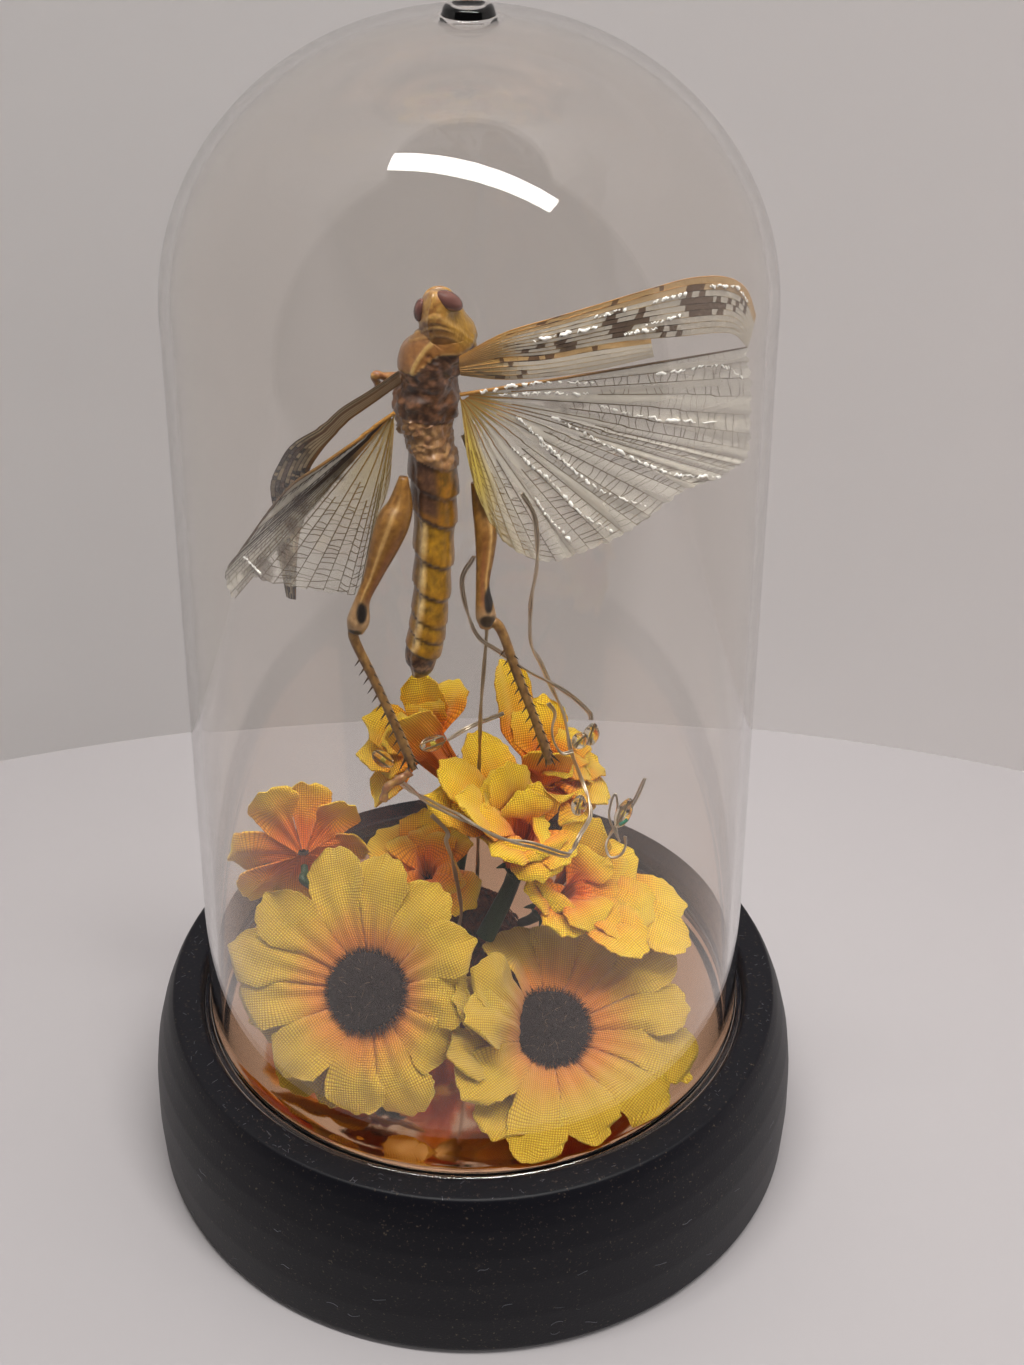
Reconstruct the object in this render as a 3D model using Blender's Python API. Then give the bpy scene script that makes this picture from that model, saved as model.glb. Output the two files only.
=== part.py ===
"""A dried locust with spread wings, mounted over cloth flowers and light wire under a clear dome.

Origin: the middle of the base's underside. +Z is up, and the display is looked at from -Y.
Design values are in millimetres; MM turns them into Blender's metres.
"""

import math

import bmesh
import bpy
from mathutils import Vector

MM = 0.001
GAP = 0.3  # clearance between pieces that touch

# Driving sizes
BASE_RADIUS = 57.8
BASE_HEIGHT = 32.5
RECESS_RADIUS = 48.3
FLOOR_Z = 28.7
COVER_RADIUS = 29.6
DISC_RADIUS = 46.0
DISC_TOP = 29.6
DOME_FOOT_RADIUS = 47.9
DOME_WALL = 1.6
DOME_SHOULDER_Z = 160.5
DOME_SHOULDER_RADIUS = 44.3
DOME_CAP_HEIGHT = 41.0
DOME_TOP = 203.0
TURN_SEGMENTS = 32
WIRE_RADIUS = 0.45
SUPPORT_RADIUS = 0.4
PETAL_CLOTH = 0.5

# Where cloth and wire may reach: above the disc and inside the glass
REST_Z = DISC_TOP + 0.75


def clear_scene():
    for item in list(bpy.data.objects):
        bpy.data.objects.remove(item, do_unlink=True)


def material(name, color, roughness, metallic=0.0, transmission=0.0):
    made = bpy.data.materials.new(name)
    made.use_nodes = True
    shader = made.node_tree.nodes["Principled BSDF"]
    shader.inputs["Base Color"].default_value = (*color, 1.0)
    shader.inputs["Roughness"].default_value = roughness
    shader.inputs["Metallic"].default_value = metallic
    shader.inputs["Transmission Weight"].default_value = transmission
    return made


def add_mesh(name, shape, surface, smooth=True):
    """Turn a bmesh in millimetres into a named object in metres."""
    bmesh.ops.scale(shape, vec=(MM, MM, MM), verts=shape.verts)
    bmesh.ops.recalc_face_normals(shape, faces=shape.faces)
    mesh = bpy.data.meshes.new(name)
    shape.to_mesh(mesh)
    shape.free()
    if smooth:
        mesh.shade_smooth()
        mesh.set_sharp_from_angle(angle=math.radians(40))
    mesh.materials.append(surface)
    thing = bpy.data.objects.new(name, mesh)
    bpy.context.scene.collection.objects.link(thing)
    return thing


def fuse(target, *additions):
    """Grow closed shapes into one solid with the target."""
    for addition in additions:
        addition.hide_render = True
        addition.display_type = "WIRE"
        union = target.modifiers.new(addition.name, "BOOLEAN")
        union.operation = "UNION"
        union.solver = "EXACT"
        union.object = addition


def turned(name, profile, surface):
    """Spin a closed profile of (radius, height) about the Z axis."""
    shape = bmesh.new()
    points = [shape.verts.new((radius, 0, height)) for radius, height in profile]
    edges = [shape.edges.new((start, end)) for start, end in zip(points, points[1:] + points[:1])
             if start.co.x > 0 or end.co.x > 0]
    bmesh.ops.spin(shape, geom=points + edges, cent=(0, 0, 0), axis=(0, 0, 1),
                   angle=math.tau, steps=TURN_SEGMENTS, use_merge=True)
    bmesh.ops.remove_doubles(shape, verts=shape.verts, dist=1e-4)
    return add_mesh(name, shape, surface)


def close_loft(shape, rings):
    """Skin a stack of vertex rings and close both ends."""
    count = len(rings[0])
    for lower, upper in zip(rings, rings[1:]):
        for i in range(count):
            j = (i + 1) % count
            shape.faces.new((lower[i], lower[j], upper[j], upper[i]))
    shape.faces.new(list(reversed(rings[0])))
    shape.faces.new(rings[-1])


def across(tangent, hint):
    """Two unit vectors square to a tangent: one along the hint, one to its side."""
    up = (hint - tangent * hint.dot(tangent)).normalized()
    return up, tangent.cross(up).normalized()


def tangents(points):
    last = len(points) - 1
    return [(points[min(i + 1, last)] - points[max(i - 1, 0)]).normalized()
            for i in range(len(points))]


def tube_into(shape, points, half_widths, half_heights, hint, sides):
    """Loft elliptical rings along a route of points."""
    rings = []
    for point, tangent, wide, high in zip(points, tangents(points), half_widths, half_heights):
        up, side = across(tangent, hint)
        turns = [math.tau * i / sides for i in range(sides)]
        rings.append([shape.verts.new(point + up * math.cos(a) * high + side * math.sin(a) * wide)
                      for a in turns])
    close_loft(shape, rings)


def wire(name, points, radius, surface):
    """A round wire: a curve with a bevel and closed ends."""
    curve = bpy.data.curves.new(name, "CURVE")
    curve.dimensions = "3D"
    curve.bevel_depth = radius * MM
    curve.bevel_resolution = 1
    curve.use_fill_caps = True
    line = curve.splines.new("POLY")
    line.points.add(len(points) - 1)
    for knot, place in zip(line.points, points):
        knot.co = (*(Vector(place) * MM), 1.0)
    curve.materials.append(surface)
    thing = bpy.data.objects.new(name, curve)
    bpy.context.scene.collection.objects.link(thing)
    return thing


# --- Base, cover, disc and dome -------------------------------------------------------------

def make_base():
    """Turned black housing: bowed side, flat rim, and a recess that the dome's foot sits in."""
    black = material("satin_black", (0.012, 0.012, 0.014), 0.45)
    profile = [(0, 3.0), (COVER_RADIUS + 0.4, 3.0), (COVER_RADIUS + 0.4, 0), (56.6, 0), (57.5, 1.2),
               (BASE_RADIUS, 9), (57.5, 17), (56.8, 22.5), (55.6, 27.3), (54.4, 30.6),
               (53.4, BASE_HEIGHT), (RECESS_RADIUS + 0.5, BASE_HEIGHT),
               (RECESS_RADIUS, 31.6), (RECESS_RADIUS, FLOOR_Z), (0, FLOOR_Z)]
    turned("base_housing", profile, black)
    cover = [(0, 0.5), (COVER_RADIUS - 0.5, 0.5), (COVER_RADIUS, 1.0), (COVER_RADIUS, 2.7), (0, 2.7)]
    turned("battery_cover", cover, black)


def make_disc():
    """Thin copper-mirror disc on the recess floor."""
    copper = material("copper_mirror", (0.72, 0.27, 0.10), 0.12, metallic=1.0)
    low = FLOOR_Z + GAP
    profile = [(0, low), (DISC_RADIUS, low), (DISC_RADIUS, DISC_TOP), (0, DISC_TOP)]
    turned("copper_disc", profile, copper)


def cap_arc(radius, height, shoulder, first, last, steps):
    """Points of the dome's elliptical cap between two angles in degrees."""
    angles = [math.radians(first + (last - first) * i / steps) for i in range(steps + 1)]
    return [(radius * math.cos(a), shoulder + height * math.sin(a)) for a in angles]


def make_dome():
    """Clear bell: flared foot, slightly tapered wall, elliptical cap and a small button."""
    clear = material("clear_dome", (1.0, 1.0, 1.0), 0.02, transmission=1.0)
    foot = FLOOR_Z + GAP
    button = 3.5
    outer = [(DOME_FOOT_RADIUS, foot), (DOME_FOOT_RADIUS, 30.6), (47.2, 32.0), (46.65, 36.0)]
    outer += cap_arc(DOME_SHOULDER_RADIUS, DOME_CAP_HEIGHT, DOME_SHOULDER_Z, 0, 81, 6)
    outer += [(button, 201.6), (button - 0.3, DOME_TOP - 0.2), (0, DOME_TOP)]
    inner = [(0, 199.9)]
    inner += cap_arc(DOME_SHOULDER_RADIUS - DOME_WALL, DOME_CAP_HEIGHT - DOME_WALL,
                     DOME_SHOULDER_Z, 76, 0, 5)
    inner += [(45.05, 36.0), (45.6, 32.0), (46.4, foot)]
    turned("clear_dome", outer + inner, clear)


def make_mound():
    """Rough red-brown lump that the support wire stands in."""
    bark = material("mound", (0.16, 0.035, 0.018), 0.9)
    shape = bmesh.new()
    sides = 11
    low = DISC_TOP + GAP
    levels = [(low, 7.4), (36, 7.6), (42, 6.0), (46, 3.2), (47.2, 1.0)]
    rings = []
    for row, (height, radius) in enumerate(levels):
        ring = []
        for i in range(sides):
            turn = math.tau * i / sides
            rough = 1 + 0.10 * math.sin(3 * turn + 1.7 * row) + 0.06 * math.cos(5 * turn - row)
            lift = 0.6 * math.sin(2 * turn + row) if 0 < row < 4 else 0
            ring.append(shape.verts.new((1.2 + radius * rough * math.cos(turn),
                                         3.6 + radius * rough * math.sin(turn), height + lift)))
        rings.append(ring)
    close_loft(shape, rings)
    add_mesh("mound", shape, bark, smooth=False)


# --- Wires and light beads ------------------------------------------------------------------

def make_wires():
    """Support wire, the runs of the light string, and its clear beads."""
    steel = material("wire_metal", (0.30, 0.25, 0.19), 0.3, metallic=1.0)
    bead = material("bead_resin", (0.75, 0.72, 0.62), 0.12, transmission=0.7)
    wire("support_wire", SUPPORT_ROUTE, SUPPORT_RADIUS, steel)
    for name, points in LIGHT_RUNS.items():
        wire(name, points, WIRE_RADIUS, steel)
    for number, (place, along, length) in enumerate(LIGHT_BEADS, start=1):
        shape = bmesh.new()
        axis = Vector(along).normalized()
        middle = Vector(place)
        fractions = (-0.5, -0.3, 0.05, 0.35, 0.5)
        girths = (0.5, 1.25, 1.55, 1.1, 0.45)
        tube_into(shape, [middle + axis * length * f for f in fractions], girths, girths,
                  axis.orthogonal(), 6)
        add_mesh(f"light_bead_{number}", shape, bead)


SUPPORT_ROUTE = [
    (0.6, 2.0, 47.6), (0.9, 0.9, 66.0), (0.8, 0.5, 73.0), (1.1, 1.4, 78.0), (1.4, 0.6, 90.0),
    (2.4, 0.5, 106.0), (2.2, 1.6, 116.0), (1.8, 3.4, 124.0), (1.0, 4.4, 131.0), (-1.2, 4.6, 137.2)]

LIGHT_RUNS = {
    "light_wire_upper": [
        (7.6, -5.0, 132.6), (9.6, -5.5, 128.5), (10.0, -5.0, 120.4), (9.2, -4.0, 113.0),
        (9.3, -3.0, 104.9), (10.9, -2.0, 100.5), (12.9, -1.0, 94.8), (15.0, 0.0, 88.8),
        (16.3, 0.0, 81.7), (18.2, -2.0, 76.9), (19.2, -5.0, 75.2), (19.3, -8.0, 74.0),
        (17.4, -12.0, 73.2), (16.3, -13.5, 71.6)],
    "light_wire_lower": [
        (15.0, -15.0, 71.4), (9.7, -16.5, 74.8), (4.2, -15.8, 75.9), (-1.4, -13.8, 78.1),
        (-7.0, -8.2, 77.3), (-11.3, -2.4, 76.4), (-12.9, 1.0, 75.4)],
    "light_wire_coil": [
        (0.4, -4.5, 121.5), (-1.5, -5.0, 117.0), (0.5, -5.0, 108.1), (4.4, -5.0, 104.4),
        (8.9, -4.5, 100.4), (13.2, -4.0, 97.4), (16.2, -3.5, 94.7), (18.9, -3.0, 91.4),
        (19.3, -3.0, 89.9)],
    "light_wire_hook": [
        (16.5, -3.0, 83.6), (14.7, -3.0, 83.2), (13.4, -2.5, 85.0), (13.0, -2.0, 87.4),
        (13.4, -2.0, 90.5), (12.3, -2.0, 92.5)],
    "light_wire_foot": [
        (-6.7, -10.2, 76.2), (-4.2, -10.8, 73.2), (-4.4, -10.9, 71.2), (-3.5, -10.3, 67.0),
        (-2.4, -8.5, 58.2), (-2.1, -8.0, 53.1), (-3.0, -8.0, 48.6)],
    "light_wire_branch": [(-4.0, -1.4, 84.9), (-0.6, 2.2, 84.9), (5.2, 2.6, 87.4)],
    "light_wire_end": [
        (28.6, -3.0, 78.0), (26.9, -3.8, 73.8), (23.4, -5.0, 68.6), (22.2, -6.6, 66.8),
        (22.9, -8.0, 65.4), (24.6, -8.2, 66.0), (25.4, -7.6, 67.6), (25.3, -7.0, 69.0)],
}

LIGHT_BEADS = [
    ((19.4, -3.0, 87.0), (0.2, 0, 1), 4.2),
    ((17.3, -6.8, 88.5), (0.6, 0, 0.8), 3.0),
    ((17.4, -7.6, 76.0), (0.2, 0.2, 1), 3.6),
    ((-6.5, -2.4, 85.0), (1, 0.2, 0.3), 4.4),
    ((-15.1, 3.0, 77.9), (0.8, 0, -0.7), 4.2),
    ((24.9, -7.0, 73.9), (0.42, 0.15, 1), 5.6),
]


# --- Locust ---------------------------------------------------------------------------------

# Stations from head to tail: middle x, y, z, half width, half depth
BODY = [
    (-4.5, 3.5, 161.2, 1.2, 1.6), (-4.5, 3.3, 160.4, 2.0, 3.0), (-4.5, 3.5, 159.2, 2.7, 3.8),
    (-4.3, 3.9, 157.7, 3.4, 4.2), (-3.8, 4.4, 156.0, 4.1, 4.5), (-3.5, 4.9, 154.1, 4.5, 4.9),
    (-3.5, 4.7, 152.6, 4.9, 5.0), (-4.8, 4.5, 151.1, 5.0, 5.1), (-6.0, 4.3, 149.3, 4.7, 5.2),
    (-6.2, 4.2, 147.2, 4.5, 5.2), (-6.6, 3.9, 144.2, 5.0, 5.2), (-6.8, 3.5, 141.1, 4.8, 5.3),
    (-6.4, 3.2, 139.4, 3.8, 5.2), (-6.1, 2.8, 136.6, 3.5, 5.0), (-5.7, 1.8, 132.7, 3.7, 4.6),
    (-5.6, 0.6, 127.7, 3.4, 4.1), (-5.7, -0.9, 122.7, 3.1, 3.8), (-6.0, -2.3, 117.6, 2.9, 3.6),
    (-6.4, -3.8, 112.6, 2.7, 3.4), (-7.2, -5.6, 107.5, 2.7, 2.9), (-7.9, -6.5, 105.1, 2.6, 2.5),
    (-8.1, -7.2, 103.1, 2.0, 1.8), (-8.8, -7.6, 101.6, 0.7, 0.7)]
EYES = [((-7.1, 2.2, 158.8), (0.65, 1.0, 1.0)), ((-3.2, 1.2, 159.9), (1.0, 0.8, 0.75))]
SMALL_LEGS = [
    [(-7.0, 8.0, 151.0), (-9.2, 9.6, 148.5), (-8.0, 11.8, 146.5), (-6.8, 12.2, 149.5)],
    [(-9.0, 5.5, 147.0), (-12.0, 4.2, 147.0), (-14.2, 3.4, 147.6), (-13.4, 5.4, 144.0)],
    [(-3.0, 8.5, 151.0), (-1.6, 10.2, 148.5), (-2.6, 12.0, 146.5), (-3.8, 12.4, 149.5)],
    [(-4.0, 8.0, 143.5), (-2.2, 10.0, 141.5), (-3.2, 11.6, 138.5), (-4.6, 11.8, 141.5)],
]


def make_body():
    """Head with bulging eyes, flared neck shield, thorax and abdomen, with folded small legs."""
    horn = material("locust_body", (0.23, 0.13, 0.05), 0.45)
    shape = bmesh.new()
    tube_into(shape, [Vector(row[:3]) for row in BODY], [row[3] for row in BODY],
              [row[4] for row in BODY], Vector((0, 1, 0)), 12)
    body = add_mesh("locust_body", shape, horn)
    eyes = bmesh.new()
    for place, stretch in EYES:
        ball = bmesh.ops.create_icosphere(eyes, subdivisions=1, radius=2.0)["verts"]
        bmesh.ops.scale(eyes, vec=stretch, verts=ball)
        bmesh.ops.translate(eyes, vec=place, verts=ball)
    legs = bmesh.new()
    for route in SMALL_LEGS:
        girths = [0.75] * len(route)
        tube_into(legs, [Vector(p) for p in route], girths, girths, Vector((0, 1, 0.2)), 5)
    fuse(body, add_mesh("eyes_shape", eyes, horn), add_mesh("small_legs_shape", legs, horn))


# Thigh stations: x, y, z, half width. Shin stations: x, y, z
HIND_LEGS = {
    "hind_leg_left": (
        [(-10.1, -2.8, 134.3, 0.7), (-10.7, -3.6, 130.0, 2.0), (-11.8, -4.6, 127.5, 2.6),
         (-13.2, -5.7, 124.1, 2.3), (-15.1, -7.4, 119.5, 1.4), (-16.6, -8.6, 116.3, 1.2),
         (-17.3, -9.4, 113.3, 1.8), (-17.8, -9.7, 111.4, 1.3)],
        [(-17.9, -9.7, 112.2), (-18.0, -9.9, 110.0), (-15.5, -10.0, 103.3), (-12.7, -10.0, 95.5),
         (-10.3, -10.0, 88.3), (-9.4, -10.0, 85.4)]),
    "hind_leg_right": (
        [(0.7, 0.5, 131.6, 0.8), (1.5, -0.5, 127.7, 1.4), (2.2, -1.8, 124.6, 1.8),
         (2.1, -3.3, 121.2, 1.5), (1.7, -5.4, 117.1, 1.1), (2.0, -7.0, 114.0, 1.5),
         (2.2, -7.6, 112.2, 1.6), (2.1, -7.8, 110.8, 1.0)],
        [(2.4, -7.8, 111.9), (4.4, -8.0, 110.6), (7.2, -8.0, 101.8), (9.8, -8.0, 94.0),
         (11.8, -8.0, 87.5), (12.4, -8.0, 84.9)]),
}
SHIN_WIDTHS = [0.95, 0.8, 0.75, 0.7, 0.8, 0.45]


def make_hind_legs():
    """Swollen thigh, thin spined shin and a short clawed foot, grown as one piece."""
    straw = material("locust_leg", (0.34, 0.21, 0.09), 0.5)
    hint = Vector((0, -1, 0))
    for name, (thigh, shin) in HIND_LEGS.items():
        thigh_shape = bmesh.new()
        girths = [row[3] for row in thigh]
        tube_into(thigh_shape, [Vector(row[:3]) for row in thigh], girths, girths, hint, 7)
        leg = add_mesh(name, thigh_shape, straw)
        shin_shape = bmesh.new()
        knots = [Vector(p) for p in shin]
        tube_into(shin_shape, knots, SHIN_WIDTHS, SHIN_WIDTHS, hint, 6)
        spines = bmesh.new()
        add_spines(spines, knots[1], knots[-2])
        fuse(leg, add_mesh(name + "_shin_shape", shin_shape, straw),
             add_mesh(name + "_spines_shape", spines, straw))


def add_spines(shape, start, end):
    """Two rows of spines down the shin and three claws at its end."""
    along = (end - start).normalized()
    cones = []
    for side in (-1, 1):
        for i in range(5):
            root = start.lerp(end, 0.12 + 0.19 * i)
            out = (Vector((side, -0.5, 0)) + along * 0.6).normalized()
            cones.append((root + out * 0.2, root + out * 1.9, 0.28))
    for fan in (-0.9, 0.0, 0.9):
        out = (along * 1.4 + Vector((fan, -0.2, 0))).normalized()
        cones.append((end + out * 0.3, end + out * 3.4, 0.35))
    for root, tip, thick in cones:
        ends = [thick, 0.09]
        tube_into(shape, [root, tip], ends, ends, Vector((0.1, 1, 0.1)), 3)


def fan_wing(name, root, outline, surface, rows=(0.03, 0.5, 1.0), pleat=0.0):
    """A thin wing sheet: ribs run from the root to the outline, with shallow pleats."""
    shape = bmesh.new()
    base = Vector(root)
    grid = []
    for i, point in enumerate(outline):
        rib = Vector(point) - base
        fold = pleat * (1 if i % 2 else -1)
        grid.append([shape.verts.new(base + rib * f + Vector((0, fold * f, 0))) for f in rows])
    for rib, following in zip(grid, grid[1:]):
        for row in range(len(rows) - 1):
            shape.faces.new((rib[row], rib[row + 1], following[row + 1], following[row]))
    sheet = add_mesh(name, shape, surface)
    thick = sheet.modifiers.new("membrane", "SOLIDIFY")
    thick.thickness = 0.5 * MM
    thick.offset = 0
    return sheet


def strip_wing(name, lead, trail, surface):
    """A narrow wing: a sheet ruled between its leading and trailing edges."""
    shape = bmesh.new()
    columns = []
    for a, b in zip(lead, trail):
        front, back = Vector(a), Vector(b)
        middle = (front + back) / 2 + Vector((0, -0.5, 0))
        columns.append([shape.verts.new(p) for p in (front, middle, back)])
    for left, right in zip(columns, columns[1:]):
        for row in range(2):
            shape.faces.new((left[row], right[row], right[row + 1], left[row + 1]))
    sheet = add_mesh(name, shape, surface)
    thick = sheet.modifiers.new("membrane", "SOLIDIFY")
    thick.thickness = 0.5 * MM
    thick.offset = 0
    return sheet


def make_wings():
    leathery = material("forewing", (0.62, 0.42, 0.22), 0.4)
    membrane = material("hindwing", (0.55, 0.47, 0.36), 0.25)
    strip_wing("forewing_right",
               [(-1.6, -0.4, 152.4), (4.8, -4.6, 158), (12.4, -4, 160.2), (19.6, -3.5, 162.3),
                (26.5, -3, 164.3), (31.3, -2.7, 165.5), (36.2, -2.3, 165.5), (39.5, -2.1, 163.6),
                (41.5, -2, 159.4)],
               [(-1.4, -0.6, 149.6), (4.5, -4.6, 150.8), (11.0, -4.2, 151.0), (18.0, -3.7, 151.8),
                (26.6, -3.1, 153.6), (31.8, -2.7, 157.1), (36.0, -2.4, 157.4), (38.4, -2.3, 156.6),
                (40.7, -2.1, 154.2)], leathery)
    fan_wing("hindwing_right", (-1.6, 0.2, 146.0),
             [(41, -0.1, 153.6), (41.9, 0, 148.5), (42.4, 0, 142), (42.4, 0, 136.1),
              (40.3, -0.2, 134.3), (37.2, -0.4, 132.4), (32.4, -0.8, 130.7), (27.4, -1.1, 126.5),
              (23.2, -1.4, 123.4), (17.5, -1.8, 120.8), (12, -2.1, 119.1), (7.3, -2.4, 120.9),
              (3.8, -2.7, 124.6), (0.9, -2.9, 131.5), (-0.6, -3.1, 138.0)],
             membrane, pleat=0.35)
    strip_wing("forewing_left",
               [(-10.6, 1.2, 149.4), (-19.2, 1.8, 143.1), (-27.1, 4.0, 136.4), (-31.2, 5.6, 128.4),
                (-31.4, 7.6, 118.5), (-30.2, 8.2, 106.6)],
               [(-10.3, 1.8, 147.2), (-18.4, 2.4, 140.7), (-23.0, 4.0, 135.0), (-25.6, 5.8, 127.6),
                (-27.4, 7.6, 118.5), (-28.7, 8.2, 106.1)], leathery)
    fan_wing("hindwing_left", (-11.4, 0.4, 142.9),
             [(-22.2, 2.2, 134.1), (-28.6, 4.3, 128.3), (-35.8, 6.6, 117.8), (-40.0, 7.8, 111.4),
              (-38.7, 7.3, 106.8), (-36.7, 6.8, 112.5), (-33.9, 5.8, 111.3), (-27.3, 3.6, 111.1),
              (-20.9, 1.4, 111.5), (-17.7, 0.3, 112.7), (-15.7, -0.3, 121.7), (-14.1, -0.8, 126.7),
              (-12.4, -1.3, 131.9), (-11.8, -1.7, 138.2)],
             membrane, pleat=0.3)


# --- Flowers --------------------------------------------------------------------------------

# Each flower: heart of the disc, way it faces (azimuth, elevation in degrees), how far its petals
# bow forward, and the petal tips of its one or two cloth layers
FLOWERS = {
    "flower_front_left": dict(
        heart=(-17.1, -21.5, 48.1), faces=(-114, 42), bow=2.6, disc=7.3, foot=(-6.0, -8.0, 38.0),
        tips=[(0.5, -20, 58), (-5.5, -14, 64.5), (-14, -9.5, 67.5), (-23.5, -7, 67.1),
              (-34.5, -12.5, 61.5), (-40.0, -17.5, 54.5), (-39.0, -21.8, 46.4),
              (-31.5, -30.5, 38.5), (-18.6, -33.5, 32.2), (-9.2, -34.5, 33.0),
              (-3.4, -28.0, 40.5), (-0.5, -25.5, 49.5)],
        under=[(-12, -31.0, 30.8), (-24.5, -30.5, 30.8), (-31.5, -26.0, 31.0),
               (-37.5, -18.0, 38.5), (-35.5, -9.5, 51.0), (-25.0, -4.0, 57.0)]),
    "flower_front_right": dict(
        heart=(12.7, -20.5, 37.9), faces=(-84, 60), bow=2.6, disc=7.1, foot=(5.5, -7.5, 34.5),
        tips=[(36.0, -18.5, 41.5), (34.0, -10.0, 46.5), (25.1, -1.5, 42.3), (14.6, -0.5, 43.4),
              (5.0, -2.2, 44.0), (-0.6, -22.5, 54.5), (-1.4, -31.0, 51.0), (-2.6, -37.0, 39.0),
              (9.2, -44.2, 30.8), (20.2, -40.0, 30.8), (31.2, -32.6, 30.8), (37.5, -24.5, 33.6)]),
    "flower_left": dict(
        heart=(-29.6, 3.0, 58.0), faces=(98, 20), bow=1.0, disc=4.6, foot=(-7.5, 4.0, 40.0),
        tips=[(-35.8, 3.0, 71.0), (-28.8, 5.0, 71.0), (-20.8, 4.5, 67.0), (-18.0, 0.6, 59.6),
              (-20.5, 4.0, 48.3), (-31.0, 5.0, 43.0), (-40.2, 3.5, 47.0), (-43.0, 2.5, 56.0)]),
    "flower_back_left": dict(
        heart=(-6.9, 8.0, 76.7), root=(-3.1, 9.0, 70.0), bow=1.0, disc=3.6, foot=(-2.8, 10.5, 44.0),
        tips=[(-9.2, 14.5, 87.5), (-2.5, 18.0, 83.5), (-11.8, -1.5, 89.0), (-18.6, 11.5, 80.6),
              (-19.8, 7.5, 74.5), (-16.8, 3.5, 67.8), (-9.5, 20.0, 72.0)]),
    "flower_back_right": dict(
        heart=(11.4, 10.0, 69.4), root=(10.0, 9.8, 61.4), bow=1.0, disc=3.6, foot=(5.6, 9.5, 43.0),
        tips=[(4.4, 19.5, 86.6), (12.6, 22.0, 77.8), (19.0, 20.0, 71.0), (23.2, 15.0, 66.8),
              (23.4, 6.5, 65.4), (13.8, 3.6, 78.4)]),
    "flower_middle": dict(
        heart=(8.6, -5.0, 68.0), root=(7.6, -3.2, 60.5), bow=1.0, disc=3.4, foot=(2.0, -4.6, 45.2),
        stem=(2.4, 1.7, 1.3, 1.5, 1.7),
        tips=[(-5.5, -3.2, 81.4), (-8.4, -5.4, 75.6), (-2.7, -9.5, 78.6), (0.0, 10.6, 78.0),
              (4.8, -2.2, 80.8), (11.0, -0.2, 75.4), (16.6, -9.5, 66.2), (11.1, -13.6, 64.4),
              (3.6, -13.6, 70.4)]),
    "flower_right": dict(
        heart=(14.8, -8.0, 58.6), root=(12.4, -5.2, 52.6), bow=1.0, disc=3.6, foot=(8.6, 5.0, 40.0),
        tips=[(20.8, -2.0, 69.6), (28.0, -1.0, 60.4), (36.3, -6.0, 52.3), (36.3, -13.0, 50.0),
              (28.2, -18.6, 52.4), (15.5, -17.5, 56.0), (8.8, -13.0, 62.0)]),
    "flower_inner_left": dict(
        heart=(-8.3, 0.0, 55.8), root=(-7.5, 1.6, 49.2), bow=0.8, disc=3.4, foot=(-7.4, 1.0, 40.0),
        tips=[(-17.0, 9.5, 57.4), (-8.4, 10.5, 61.2), (-2.4, 8.2, 58.4), (0.2, -4.0, 51.4),
              (-7.5, -6.5, 51.3), (-16.5, -6.0, 53.0)]),
}
# Steps along a petal: how far it has run, and its share of the widest half width
OPEN_STEPS = [(0.0, 0.42), (0.36, 0.84), (0.74, 1.0), (1.0, 0.5)]
FUNNEL_STEPS = [(0.0, 0.5), (0.6, 1.1), (1.0, 0.6)]
PETAL_HALF_WIDTH = 4.5
# Stem radii from the green cup down to the foot
STEM_GIRTHS = (2.6, 2.0, 1.2, 0.9, 0.8)


def facing(angles):
    azimuth, elevation = (math.radians(a) for a in angles)
    return Vector((math.cos(elevation) * math.cos(azimuth),
                   math.cos(elevation) * math.sin(azimuth), math.sin(elevation)))


def inside_glass(point):
    """Bend a point back from the disc and from the dome's wall."""
    high = max(point.z, REST_Z)
    limit = 45.0 if high < 33 else 43.9 - (high - 33) * 0.012
    reach = math.hypot(point.x, point.y)
    shrink = min(1.0, limit / reach)
    return Vector((point.x * shrink, point.y * shrink, high))


def petal_column(heart, front, tip, inner, bow, root):
    """Rows of points along one petal: left edge, middle and right edge.

    A half-open flower's petals first rise from its root to a rim round its heart.
    """
    spread = tip - heart
    flat = (spread - front * spread.dot(front)).normalized()
    side = front.cross(flat)
    rim = heart + flat * inner
    chord = tip - rim
    normal = (front - chord * front.dot(chord) / chord.length_squared).normalized()
    line = [(root + flat * inner * 0.6, 0.36)] if root else []
    line += [(rim + chord * run + normal * bow * 4 * run * (1 - run), share)
             for run, share in (FUNNEL_STEPS if root else OPEN_STEPS)]
    rows = []
    for middle, share in line:
        edge = side * PETAL_HALF_WIDTH * share
        rows.append([inside_glass(middle - edge), inside_glass(middle), inside_glass(middle + edge)])
    return rows


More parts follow.
